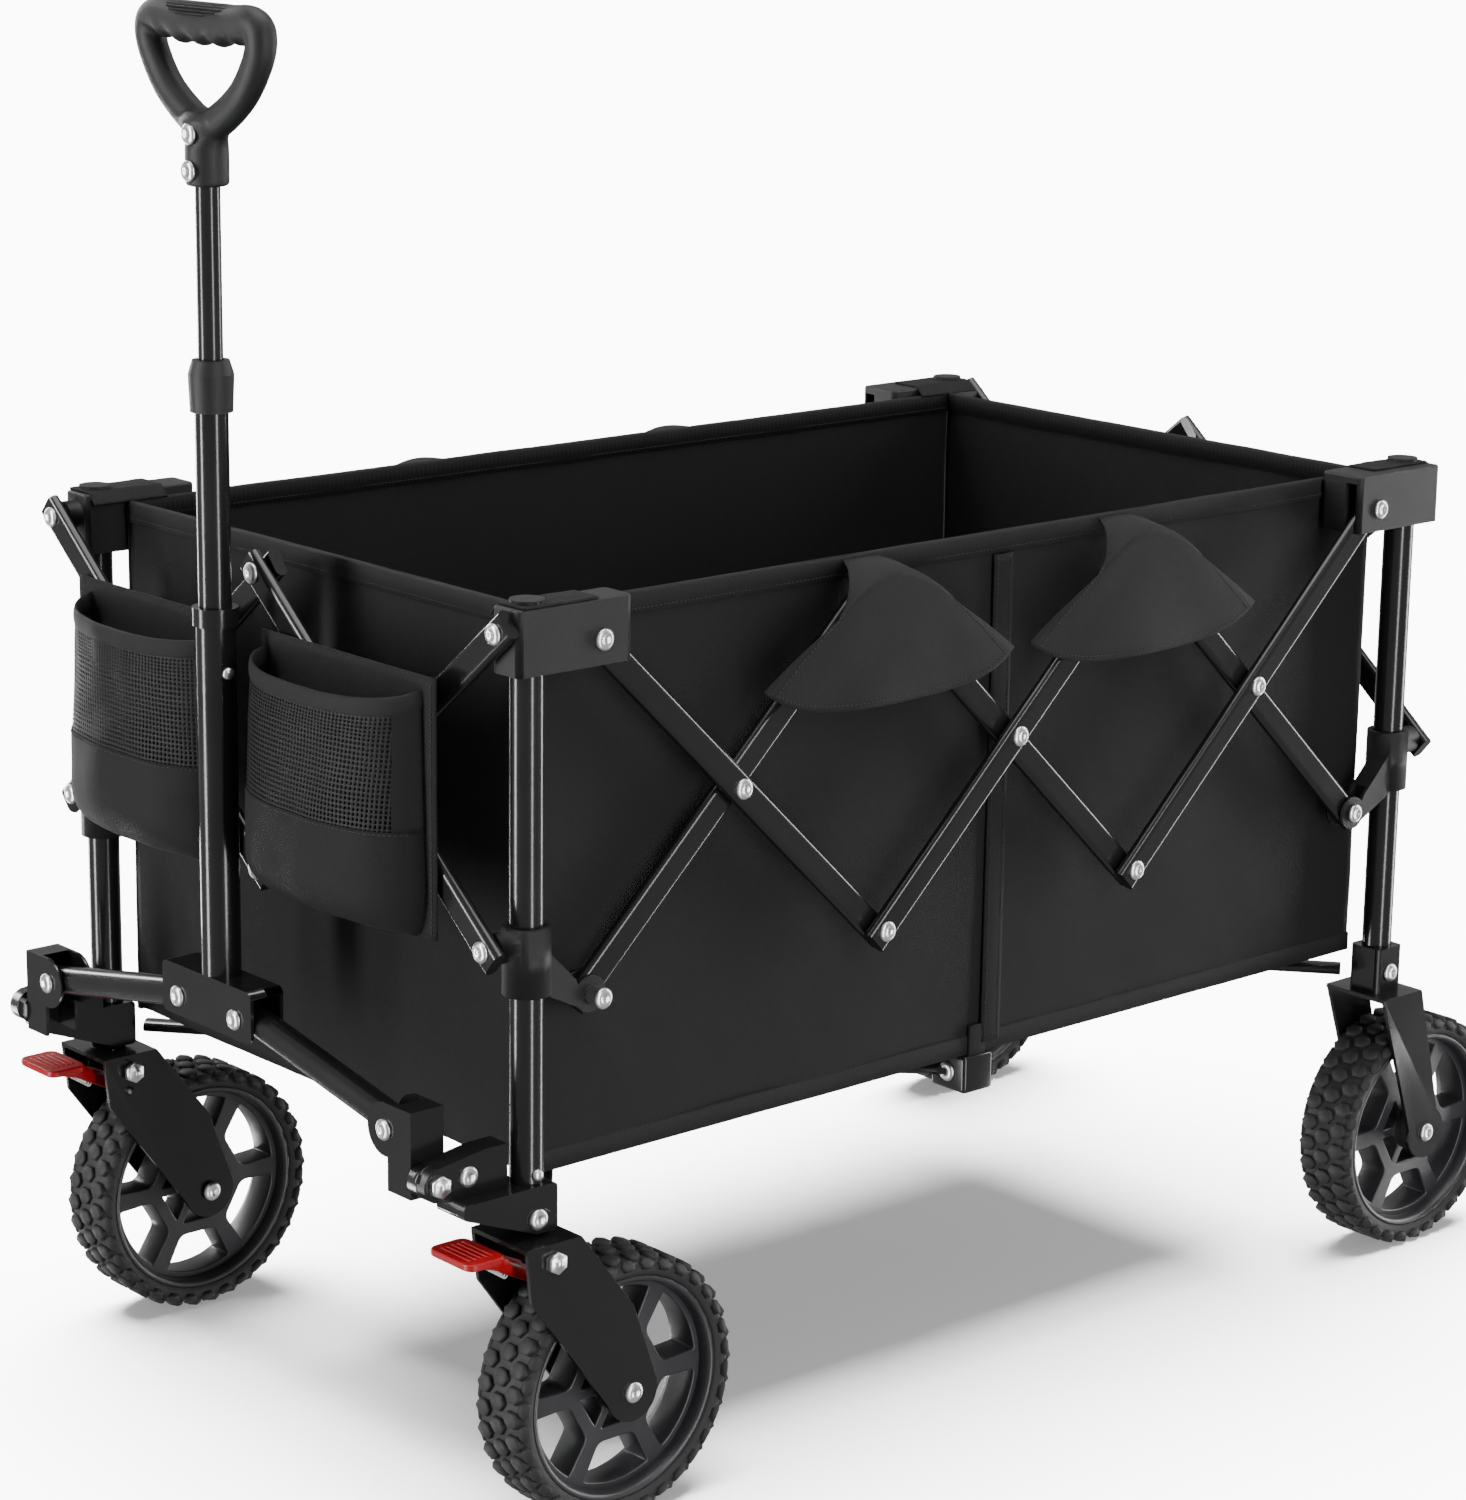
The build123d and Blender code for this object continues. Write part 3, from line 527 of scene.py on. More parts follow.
def small_shape(name, outline, steps, stretch=(1, 1)):
    """A domed button on the XY plane; outline is (radius, height) from the rim to the crown."""
    points = []
    for radius, height in outline:
        for step in range(steps):
            angle = 2 * pi * step / steps
            points.append((radius * cos(angle) * stretch[0], radius * sin(angle) * stretch[1], height))
    faces = ring_faces(len(outline), steps)
    faces.append(tuple(range((len(outline) - 1) * steps, len(outline) * steps)))
    faces.append(tuple(reversed(range(steps))))
    made = piece(name, points, faces, bright)
    bpy.context.collection.objects.unlink(made)
    return made


def outward(made):
    """Merges doubled points and turns all faces outwards."""
    shape = bmesh.new()
    shape.from_mesh(made.data)
    bmesh.ops.remove_doubles(shape, verts=shape.verts, dist=1e-6)
    bmesh.ops.recalc_face_normals(shape, faces=shape.faces)
    shape.to_mesh(made.data)
    shape.free()
    return made


def join(name, parts):
    """One piece from several, which keep their materials."""
    bpy.ops.object.select_all(action="DESELECT")
    for extra in parts:
        extra.select_set(True)
    bpy.context.view_layer.objects.active = parts[0]
    bpy.ops.object.join()
    parts[0].name = name
    return parts[0]


bright = bright_rivet()
tape_cloth = oxford_cloth("binding_tape", 1.5, 0.002)
thread = oxford_cloth("thread", 3.2, 0.0006)
stitch = small_shape("stitch", [(0.0013, -0.0002), (0.0013, 0.0001), (0.0007, 0.00035)], 6, (1.0, 0.3))
stitch_pitch = 0.0034


def stitches(name, route, outs):
    """A row of stitches along a route on the cloth, with the cloth's outward direction at each point."""
    places = []
    spare = stitch_pitch / 2
    for index in range(len(route) - 1):
        run = route[index + 1] - route[index]
        while spare < run.length:
            share = spare / run.length
            out = outs[index].lerp(outs[index + 1], share).normalized()
            places.append((route[index] + run * share, out, run.normalized()))
            spare += stitch_pitch
        spare -= run.length
    return scatter(name, places, stitch, thread)


def binding(name, start, end, out, height, thickness):
    """Tape folded over a cloth edge: a soft round top and flat sides, slightly uneven along its length."""
    run = end - start
    outline = []
    for step in range(9):
        angle = pi * step / 8
        outline.append((cos(angle) * thickness / 2, sin(angle) * thickness * 0.45))
    outline += [(-thickness / 2, -height), (thickness / 2, -height)]
    points, uvs = [], []
    count = max(8, int(run.length / 0.012))
    for index in range(count + 1):
        share = index / count
        wave = noise.noise(Vector((share * run.length * 14, out.x * 3 + 5, out.y * 3))) * 0.0009
        for corner, (x, z) in enumerate(outline):
            points.append(start + run * share + out * (x + wave) + Vector((0, 0, z + wave * 0.7)))
            uvs.append((share * run.length, corner * 0.003))
    size = len(outline)
    faces = ring_faces(count + 1, size)
    faces.append(tuple(range(size)))
    faces.append(tuple(range(count * size, (count + 1) * size)))
    return outward(piece(name, points, faces, tape_cloth, uvs=uvs))


tape_height, tape_thickness = 0.013, 0.0046
hem_height, hem_thickness, hem_rise = 0.012, 0.0042, 0.011
rim_edge = 0.002
drop = Vector((0, 0, tape_height - 0.003))
seam_y, seam_off, seam_width = middle_y + 0.012, 0.0012, 0.018
for side, way in side_names.items():
    out = Vector((way, 0, 0))
    first = Vector((way * wall_x, wall_low.y, rim_height - rim_edge))
    last = Vector((way * wall_x, wall_high.y, rim_height - rim_edge))
    tape = binding(f"rim_tape_{side}", first, last, out, tape_height, tape_thickness)
    seam_foot = Vector((way * (wall_x + seam_off), seam_y, wall_low.z + 0.006))
    seam_head = Vector((way * (wall_x + seam_off), seam_y, rim_height - 0.016))
    seam = sheet_grid(
        f"side_seam_{side}",
        seam_foot - Vector((0, way * seam_width / 2, 0)),
        Vector((0, way * seam_width, 0)),
        seam_head - seam_foot,
        (8, 60),
        lambda u, v: 0.0022 + 0.0009 * sin(pi * u) + 0.0004 * noise.noise(Vector((u, v * 30, 2))),
        cloth,
        oxford,
    )
    edge = out * (tape_thickness / 2)
    rows = [
        stitches("rim_outside", [first - drop + edge, last - drop + edge], [out, out]),
        stitches("rim_inside", [first - drop - edge, last - drop - edge], [out * -1, out * -1]),
    ]
    for offset in (-seam_width / 3, seam_width / 3):
        shift = Vector((0, offset, 0)) + out * 0.0034
        rows.append(stitches("seam_row", [seam_foot + shift, seam_head + shift], [out, out]))
    hem = binding(
        f"floor_hem_{side}",
        Vector((way * wall_x, wall_low.y, wall_low.z + hem_rise)),
        Vector((way * wall_x, wall_high.y, wall_low.z + hem_rise)),
        out,
        hem_height,
        hem_thickness,
    )
    for made in (tape, seam, join(f"stitches_{side}", rows), hem):
        crumple_length(made, side)
for end, way in end_names.items():
    out = Vector((0, way, 0))
    first = Vector((end_low.x + rim_edge, middle_y + way * half_end, rim_height - rim_edge))
    last = Vector((end_high.x - rim_edge, middle_y + way * half_end, rim_height - rim_edge))
    tape = binding(f"rim_tape_{end}", first, last, out, tape_height, tape_thickness)
    edge = out * (tape_thickness / 2)
    row = stitches(f"stitches_{end}", [first - drop + edge, last - drop + edge], [out, out])
    for made in (tape, row):
        crumple_width(made, end)


# ---- Flaps over the upper side joints ----
# Fan-shaped covers of paler cloth, sewn under the rim tape. They pass over the bars' upper ends and
# hang free.
flap_cloth = oxford_cloth("flap_cloth", 1.35, 0.0013)
flap_reach = 0.038
shelf_share, row_share, hem_share = 0.30, 0.93, 0.965


def flap_point(way, joint_y, u, v):
    """A point on a flap: u goes from edge to edge, and v from the rim, out over the bars and down."""
    top = rim_height - 0.0030
    shelf = min(1.0, v / shelf_share) * pi / 2
    hang = max(0.0, (v - shelf_share) / (1 - shelf_share))
    length = 0.060 + 0.021 * (1 - u**4)
    fold = 0.0022 * cos(u * 5.2 + 0.6) * hang + 0.0016 * noise.noise(Vector((u * 2.4, hang * 2, joint_y * 9)))
    x = wall_x + tape_thickness / 2 + flap_reach * sin(shelf) ** 0.6 + fold * hang - 0.006 * u**4 * v
    z = top - 0.009 * (1 - cos(shelf) ** 0.6) - length * hang - 0.022 * u * u * sin(shelf) * (1 - hang)
    half = 0.015 + 0.097 * v**0.75
    return Vector((way * x, joint_y + u * half, z))


def flap(name, way, joint_y):
    columns, rows = 40, 40
    points, uvs = [], []
    for row in range(rows + 1):
        for column in range(columns + 1):
            u, v = 2 * column / columns - 1, row / rows
            point = flap_point(way, joint_y, u, v)
            points.append(point)
            uvs.append((point.y, point.z - way * point.x))
    made = piece(name, points, grid_faces(columns, rows), flap_cloth, uvs=uvs)
    modifier(made, "SOLIDIFY", thickness=cloth, offset=0.0)
    plain(made)
    out = Vector((way, 0, 0))
    lift = out * 0.0007
    seam_rows = []
    for u in (-row_share, row_share):
        route = [flap_point(way, joint_y, u, 0.06 + 0.92 * step / 20) + lift for step in range(21)]
        seam_rows.append(stitches("flap_side_row", route, [out] * len(route)))
    hem_places = [row_share * (step / 20 - 1) for step in range(41)]
    hem_row = [flap_point(way, joint_y, u, hem_share) + lift for u in hem_places]
    seam_rows.append(stitches("flap_hem_row", hem_row, [out] * len(hem_row)))
    return made, join(f"{name}_stitches", seam_rows)


for side, way in side_names.items():
    for place, joint_name in (("front", "fold_right_low_front"), ("rear", "fold_right_top_rear")):
        cover, thread_rows = flap(f"joint_flap_{place}_{side}", way, pivot(joint_name).y)
        crumple_length(cover, side)
        crumple_length(thread_rows, side)


# ---- Bottle pockets ----
# A net pouch with a bound mouth, a solid cloth foot and a cloth band down each side, one each side of
# the handle.
def pocket_net():
    """Black knitted net: staggered round holes in the cloth's own coordinates."""
    finish = Finish("pocket_net", (0.009, 0.009, 0.009), 0.6, Specular_IOR_Level=0.2)
    place = finish.node("ShaderNodeSeparateXYZ", {}, {0: finish.cloth()})
    pitch = 0.0032
    rows = (place[1] * (pi / pitch)).sine()
    columns = (place[0] * (pi / pitch)).sine()
    solid = 1 - (rows * columns).above(0.42) - (rows * columns * -1).above(0.42)
    finish.set("Alpha", solid)
    finish.set("Roughness", 0.5 + 0.2 * finish.noise(finish.spot(), 40.0))
    finish.relief(1 - (rows * columns).size(), 0.0003)
    return finish.material


net = pocket_net()
pocket_low, pocket_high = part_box("front_pockets")
pocket_depth = pocket_high.y - pocket_low.y + 0.010
pocket_height = pocket_high.z - pocket_low.z
pocket_inner, pocket_outer = 0.016, pocket_high.x
back_margin = 0.010
foot_share, mouth_share = 0.44, 0.965
band_spans = ((-1.0, -0.91), (0.91, 1.0))
flat_back = (pocket_outer + back_margin - pocket_inner, pocket_height + back_margin)


def pouch_point(way, u, v):
    """A point on a pouch: u goes across it, and v from its foot to its mouth."""
    foot = min(1.0, v / 0.20)
    rounding = sqrt(max(0.0, 1 - (1 - foot) ** 2))
    bulge = (1 - abs(u) ** 2.5) ** (1 / 2.2)
    fullness = 0.80 + 0.20 * (1 - v) ** 0.7
    depth = pocket_depth * (0.10 + 0.90 * rounding) * bulge * fullness
    depth += 0.0016 * noise.noise(Vector((u * 3, v * 5, way * 3.0))) * bulge
    half = (pocket_outer - pocket_inner) / 2 * (0.90 + 0.10 * rounding) * (1 - 0.05 * v)
    dip = 0.009 * bulge * max(0.0, v - 0.8) / 0.2
    x = (pocket_inner + pocket_outer) / 2 + u * half
    return Vector((way * x, pocket_high.y - depth, pocket_low.z + pocket_height * v - dip))


def pouch(name, way, low_share, high_share, finish, lift=0.0, near=-1.0, far=1.0):
    """Part of the pouch's front, between two height shares and two places across it."""
    columns, rows = 48, 26
    points, uvs = [], []
    for row in range(rows + 1):
        v = low_share + (high_share - low_share) * row / rows
        along = 0.0
        before = None
        for column in range(columns + 1):
            point = pouch_point(way, near + (far - near) * column / columns, v)
            point.y -= lift
            along += (point - before).length if before else 0.0
            before = point
            points.append(point)
            uvs.append((along, v * pocket_height))
    made = piece(name, points, grid_faces(columns, rows), finish, uvs=uvs)
    modifier(made, "SOLIDIFY", thickness=0.001, offset=0.0)
    return plain(made)


def tube(name, path, radius, finish, closed=False, flat=1.0, sides=12):
    """A round or flattened tube along a list of points."""
    points = []
    count = len(path)
    for index, point in enumerate(path):
        ahead = path[(index + 1) % count] if closed or index < count - 1 else point
        behind = path[index - 1] if closed or index > 0 else point
        along = (ahead - behind).normalized()
        side = along.cross(Vector((0, 0, 1)))
        side = (side if side.length > 0.1 else along.cross(Vector((0, 1, 0)))).normalized()
        rise_way = side.cross(along)
        for step in range(sides):
            angle = 2 * pi * step / sides
            points.append(point + side * cos(angle) * radius * flat + rise_way * sin(angle) * radius)
    faces = ring_faces(count, sides, closed)
    if not closed:
        faces.append(tuple(range(sides)))
        faces.append(tuple(range((count - 1) * sides, count * sides)))
    return outward(piece(name, points, faces, finish))


for side, way in side_names.items():
    foot = pouch(f"pocket_foot_{side}", way, 0.0, foot_share, oxford, 0.0008)
    front_net = pouch(f"pocket_net_{side}", way, foot_share - 0.02, mouth_share, net)
    bands = [pouch("band", way, foot_share, mouth_share, oxford, 0.0009, *span) for span in band_spans]
    mouth = [pouch_point(way, 2 * step / 48 - 1, mouth_share) for step in range(49)]
    mouth_tape = tube(f"pocket_mouth_{side}", mouth, 0.0065, tape_cloth, flat=0.28)
    seam_line = [pouch_point(way, 1.96 * step / 48 - 0.98, foot_share - 0.012) for step in range(49)]
    seam_line = [point - Vector((0, 0.0014, 0)) for point in seam_line]
    seam_outs = [Vector((way * 0.8 * (step / 24 - 1), -1, 0)).normalized() for step in range(49)]
    back_start = pocket_inner if way > 0 else -pocket_outer - back_margin
    backing = sheet_grid(
        f"pocket_back_{side}",
        Vector((back_start, pocket_high.y - 0.001, pocket_low.z)),
        Vector((flat_back[0], 0, 0)),
        Vector((0, 0, flat_back[1])),
        (30, 24),
        puckers(31 + way, 0.001),
        cloth,
        oxford,
    )
    edge_x = way * (pocket_outer + 0.006)
    back_y = pocket_high.y - 0.0022
    edge_route = [Vector((edge_x, back_y, pocket_low.z + share * pocket_height)) for share in (0.02, 1.03)]
    trim = join(
        f"pocket_trim_{side}",
        [
            *bands,
            stitches("foot_row", seam_line, seam_outs),
            stitches("edge_row", edge_route, [Vector((0, -1, 0))] * 2),
        ],
    )
    for made in (foot, front_net, mouth_tape, backing, trim):
        crumple_width(made, "front", side)
    if way > 0:
        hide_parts("front_pockets")


# ---- Floor arms ----
# Flat steel arms from two hubs to the feet and to a boxed bracket at the middle of each side.
def block(name, low, high, round_by, finish, segments=3):
    """A box with rounded edges."""
    corners = [(x, y, z) for x in (low[0], high[0]) for y in (low[1], high[1]) for z in (low[2], high[2])]
    faces = [(0, 1, 3, 2), (4, 6, 7, 5), (0, 4, 5, 1), (2, 3, 7, 6), (0, 2, 6, 4), (1, 5, 7, 3)]
    made = outward(piece(name, corners, faces, finish))
    modifier(made, "BEVEL", width=round_by, segments=segments, limit_method="NONE")
    return plain(made)


arms_low, arms_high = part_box("floor_arms")
arm_height = (arms_low.z + arms_high.z) / 2
box_depth, box_length, box_height = 0.034, 0.028, 0.027
arm_radius, hub_radius, strap_half = 0.0045, 0.02, 0.008
for side, way in side_names.items():
    parts = []
    box_outer = arms_high.x - 0.002
    box_inner = box_outer - box_depth
    for end_way in end_names.values():
        foot_y = middle_y + end_way * (post_spacing / 2 - 0.022)
        hub = Vector((way * 0.004, middle_y + end_way * post_spacing / 4, arm_height))
        tips = (
            Vector((way * (arms_high.x - 0.006), foot_y, arm_height)),
            Vector((way * (box_inner + 0.012), middle_y + end_way * 0.010, arm_height)),
        )
        for tip in tips:
            parts.append(tube("arm", [hub, tip], arm_radius, coat, flat=1.9, sides=16))
        for height in (-0.005, 0.004):
            parts.append(tube("hub", [hub + Vector((0, 0, height)), hub], hub_radius, coat, sides=24))
    low_x, high_x = sorted((way * box_inner, way * box_outer))
    box_low = (low_x, middle_y - box_length / 2, arm_height - box_height / 2)
    box_high = (high_x, middle_y + box_length / 2, arm_height + box_height / 2)
    parts.append(block("mid_box", box_low, box_high, 0.0028, coat))
    strap_low, strap_high = sorted((way * (wall_high.x - 0.0005), way * (wall_high.x + 0.0025)))
    strap_foot = (strap_low, middle_y - strap_half, arm_height)
    strap_head = (strap_high, middle_y + strap_half, wall_low.z + 0.020)
    parts.append(block("mid_strap", strap_foot, strap_head, 0.001, oxford))
    arms = join(f"floor_arms_{side}", parts)
    crumple_length(arms, side)
    if way > 0:
        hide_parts("floor_arms")


# ---- Rivets and nuts ----
# Bright domed rivets at every pivot, each on the outermost bar or bracket that it holds, and hexagon nuts
# on the bolts that a user may take out: the handle's links and the casters' tie bolts.
dome_outline = [(0.0070, 0.0), (0.0070, 0.0012), (0.0064, 0.0020), (0.0048, 0.0027), (0.0030, 0.0028)]
dome = small_shape("rivet_dome", [*dome_outline, (0.0024, 0.0021), (0.0004, 0.0020)], 24)
nut = small_shape(
    "hex_nut", [(0.0076, 0.0), (0.0076, 0.0042), (0.0066, 0.0050), (0.0038, 0.0050), (0.0034, 0.0066)], 6
)
head_height = 0.002
rivets = {}
upright = Vector((0, 0, 1))


def add_rivet(body, node, spot, out):
    """A rivet on the outer face of a node, at spot, facing out along X or Y."""
    low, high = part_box(node)
    axis = 0 if abs(out.x) > 0.5 else 1
    face = (high if out[axis] > 0 else low)[axis] - out[axis] * head_height
    point = Vector(spot)
    point[axis] = face
    rivets.setdefault(body, []).append((point, out, upright))


side_pivots = {
    "front_falling": ["cross_front"],
    "middle_falling": ["top_front"],
    "middle_rising": ["low_front", "cross_middle", "top_rear"],
    "rear_rising": ["low_rear", "cross_rear"],
}
named_pivots = ("cross_front", "low_front", "cross_middle", "top_rear", "cross_rear")
spots = {name: pivot(f"fold_right_{name}") for name in named_pivots}
spots["top_front"] = Vector((0, spots["low_front"].y, pivot("frame_fold").z))
spots["low_rear"] = Vector((0, spots["top_rear"].y, spots["low_front"].z))
for side, way in side_names.items():
    out = Vector((way, 0, 0))
    for bar, names in side_pivots.items():
        for name in names:
            add_rivet(f"side_bar_{side}_{bar}", f"side_bar_{side}_{bar}", spots[name], out)
    for end in end_names:
        top_spot = pivot("frame_fold") if end == "front" else pivot("fold_right_rear_post")
        add_rivet(f"{end}_{side}_corner", f"top_bracket_{end}_{side}", top_spot, out)
        add_rivet(f"slider_{end}_{side}", f"slider_{end}_{side}", pivot(f"fold_right_{end}_slider"), out)
    rear_axle = pivot(f"wheel_spin_rear_{side}")
    for facing in (out, -out):
        add_rivet(f"rear_{side}_corner", f"wheel_bracket_rear_{side}", rear_axle, facing)
        add_rivet(f"caster_{side}", f"caster_fork_{side}", pivot(f"wheel_spin_front_{side}"), facing)
top, low = pivot("fold_front_right_pivot"), pivot("fold_front_low_centre")
half_way = (top.z + low.z) / 2
end_pivots = {
    "right_falling": [(top.x, top.z)],
    "right_rising": [(top.x, low.z), (top.x / 2, half_way), (0, top.z)],
    "left_falling": [(0, low.z), (-top.x / 2, half_way), (-top.x, top.z)],
    "left_rising": [(-top.x, low.z)],
}
for end, end_way in end_names.items():
    for bar, places in end_pivots.items():
        for x, z in places:
            name = f"end_bar_{end}_{bar}"
            add_rivet(name, name, (x, 0, z), Vector((0, end_way, 0)))
front = Vector((0, -1, 0))
channel_spot = pivot("fold_handle_channel")
tilt = pivot("handle_tilt")
tube_skin, tie_bolt_height = 0.0142, 0.195
socket_rivet_height, bracket_rivet_height = 0.2195, 0.2215
for side, way in side_names.items():
    add_rivet(f"handle_hinge_{side}", f"handle_hinge_{side}", pivot(f"fold_cross_tube_{side}"), front)
    add_rivet("handle_base", "handle_channel", (way * channel_spot.x, 0, channel_spot.z), front)
for side, way in side_names.items():
    out = Vector((way, 0, 0))
    foot = post[f"front_{side}"]
    rear_foot = post[f"rear_{side}"]
    foot_face = way * (abs(foot.x) + tube_skin)
    rivets[f"front_{side}_corner"] += [
        (Vector((way * abs(foot.x), tilt.y + 0.023, tilt.z + 0.001)), out, upright),
        (Vector((foot_face, foot.y - 0.002, socket_rivet_height)), out, upright),
    ]
    rear_place = Vector((foot_face, rear_foot.y, bracket_rivet_height))
    rivets[f"rear_{side}_corner"].append((rear_place, out, upright))
    box_front = Vector((way * (box_inner + box_depth / 2), middle_y - box_length / 2, arm_height))
    made = scatter(f"mid_box_rivet_{side}", [(box_front, front, upright)], dome, bright)
    crumple_length(made, side)
    fork_low, fork_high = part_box(f"caster_fork_{side}")
    fork_faces = (fork_high.x - head_height, fork_low.x + head_height)
    bolt_ends = [
        (Vector((x, foot.y, tie_bolt_height)), Vector((facing, 0, 0)), upright)
        for x, facing in zip(fork_faces, (1, -1))
    ]
    for body, places in (
        (f"front_{side}_corner", [(Vector((way * abs(foot.x), tilt.y, tilt.z)), out, upright)]),
        (f"caster_{side}", bolt_ends),
    ):
        made = scatter(f"hex_nut_{body}", places, nut, bright)
        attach(made, body)
for body, places in rivets.items():
    made = scatter(f"rivets_{body}", places, dome, bright)
    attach(made, body)


# ---- Wheels ----
# A solid rubber tyre with staggered hexagonal lugs and toothed shoulders, on a moulded rim: a deep band,
# six tapering spokes from the corners of a hexagonal web, and ribs from the web to the hub.
def tyre_rubber():
    """Solid black tyre rubber, matt with a faint dusty bloom."""
    finish = Finish("tyre_rubber", (0.010, 0.010, 0.010), 0.7, Specular_IOR_Level=0.35)
    bloom = finish.noise(finish.spot(), 30.0, 5.0)
    finish.set("Base Color", finish.between(bloom, (0.007, 0.007, 0.007), (0.016, 0.0155, 0.015)))
    finish.set("Roughness", 0.55 + bloom * 0.25)
    finish.relief(finish.noise(finish.spot(), 700.0, 4.0), 0.0002)
    return finish.material


def rim_plastic():
    """Glossier black moulded plastic for the wheel rims."""
    finish = Finish("rim_plastic", (0.014, 0.014, 0.016), 0.36)
    flow = finish.noise(finish.spot(), 35.0, 3.0)
    finish.set("Roughness", 0.26 + flow * 0.2)
    finish.set("Base Color", finish.between(flow, (0.012, 0.012, 0.0138), (0.021, 0.021, 0.0235)))
    finish.relief(finish.noise(finish.spot(), 1200.0), 0.0001)
    return finish.material


def lathe(name, outline, centre, finish, steps=64):
    """A ring turned about the X axis through centre; outline is (x, radius) points in order."""
    points = []
    for step in range(steps):
        angle = 2 * pi * step / steps
        for x, radius in outline:
            points.append(centre + Vector((x, radius * cos(angle), radius * sin(angle))))
    faces = ring_faces(steps, len(outline), closed=True)
    return outward(piece(name, points, faces, finish))


def arc(radius, first, last, steps):
    """Points along an arc about the origin, from one angle to another."""
    angles = [first + (last - first) * n / steps for n in range(steps + 1)]
    return [Vector((radius * cos(angle), radius * sin(angle))) for angle in angles]


def rounded(corners, radius, steps=5):
    """A closed outline with its corners rounded over."""
    outline = []
    for index, corner in enumerate(corners):
        before, after = corners[index - 1], corners[(index + 1) % len(corners)]
        cut = min(radius, (before - corner).length / 2, (after - corner).length / 2)
        first = corner + (before - corner).normalized() * cut
        last = corner + (after - corner).normalized() * cut
        for step in range(steps + 1):
            share = step / steps
            outline.append(first * (1 - share) ** 2 + corner * 2 * share * (1 - share) + last * share**2)
    return outline


rim_inner, web_corner, web_wall, spoke_root, spoke_tip = 0.0672, 0.0385, 0.0055, 0.0048, 0.0062
hub_outer, rib_half, disc_radius, bore_radius = 0.0165, 0.0022, 0.0720, 0.0060


def rim_web(name, centre, half_depth):
    """The spoked web: openings cut from a flat disc, which is then given its depth and rounded edges."""
    flat_curve = bpy.data.curves.new(name, "CURVE")
    flat_curve.dimensions = "2D"
    flat_curve.fill_mode = "BOTH"

    def ring(points):
        spline = flat_curve.splines.new("POLY")
        spline.points.add(len(points) - 1)
        for target, place in zip(spline.points, points):
            target.co = (place.x, place.y, 0, 1)
        spline.use_cyclic_u = True

    ring(arc(disc_radius, 0, 2 * pi * 95 / 96, 95))
    ring(arc(bore_radius, 0, 2 * pi * 23 / 24, 23))
    for spoke in range(6):
        first, second = spoke * pi / 3, (spoke + 1) * pi / 3
        corner_a = Vector((web_corner * cos(first), web_corner * sin(first)))
        corner_b = Vector((web_corner * cos(second), web_corner * sin(second)))
        along_a, along_b = corner_a.normalized(), corner_b.normalized()
        side_a, side_b = Vector((-along_a.y, along_a.x)), Vector((along_b.y, -along_b.x))
        turn_a = first + asin(spoke_tip / rim_inner)
        turn_b = second - asin(spoke_tip / rim_inner)
        outer_hole = [corner_b + side_b * spoke_root, corner_a + side_a * spoke_root]
        outer_hole += arc(rim_inner, turn_a, turn_b, 10)
        ring(rounded(outer_hole, 0.0055))
        inner_corner = web_corner - web_wall * 2 / sqrt(3) * 1.1
        inner_hole = [
            along_b * inner_corner + side_b * rib_half,
            along_a * inner_corner + side_a * rib_half,
            along_a * hub_outer + side_a * rib_half,
            along_b * hub_outer + side_b * rib_half,
        ]
        ring(rounded(inner_hole, 0.0030))
    flat_curve.extrude = half_depth
    flat_curve.bevel_depth = 0.0011
    flat_curve.bevel_resolution = 1
    holder = placed(name, flat_curve)
    mesh = bpy.data.meshes.new_from_object(holder.evaluated_get(bpy.context.evaluated_depsgraph_get()))
    bpy.data.objects.remove(holder)
    stand = Matrix(((0, 0, 1), (1, 0, 0), (0, 1, 0))).to_4x4()
    mesh.transform(Matrix.Translation(centre) @ stand)
    mesh.materials.clear()
    mesh.materials.append(rim_black)
    return outward(placed(name, mesh))


rubber = tyre_rubber()
rim_black = rim_plastic()
tread_radius, lug_count, lug_row = 0.0870, 34, 0.0142
shoulder_radius, shoulder_x, shoulder_lean = 0.0838, 0.0218, 55
half_tyre = [
    (0.0197, 0.0752), (0.0212, 0.0764), (0.0224, 0.0790),
    (0.0228, 0.0822), (0.0216, 0.0852), (0.0178, 0.0870),
]
tyre_outline = [(-x, radius) for x, radius in half_tyre] + list(reversed(half_tyre))
band = [(0.0206, 0.0756), (0.0212, 0.0742), (0.0206, 0.0726), (0.0190, 0.0712), (0.0130, 0.0702)]
rim_outline = [(-x, radius) for x, radius in band] + [(0.0, 0.0698)] + list(reversed(band))
half_hub = [(0.0240, 0.0045), (0.0240, 0.0105), (0.0225, 0.0120), (0.0150, 0.0165)]
hub_outline = [(-x, radius) for x, radius in half_hub] + list(reversed(half_hub))
lug = small_shape("tread_lug", [(0.0070, -0.002), (0.0067, 0.0019), (0.0058, 0.0028)], 6, (1.08, 0.92))
tooth = small_shape("shoulder_tooth", [(0.0052, -0.002), (0.0049, 0.0014), (0.0040, 0.0021)], 6, (1.25, 0.8))
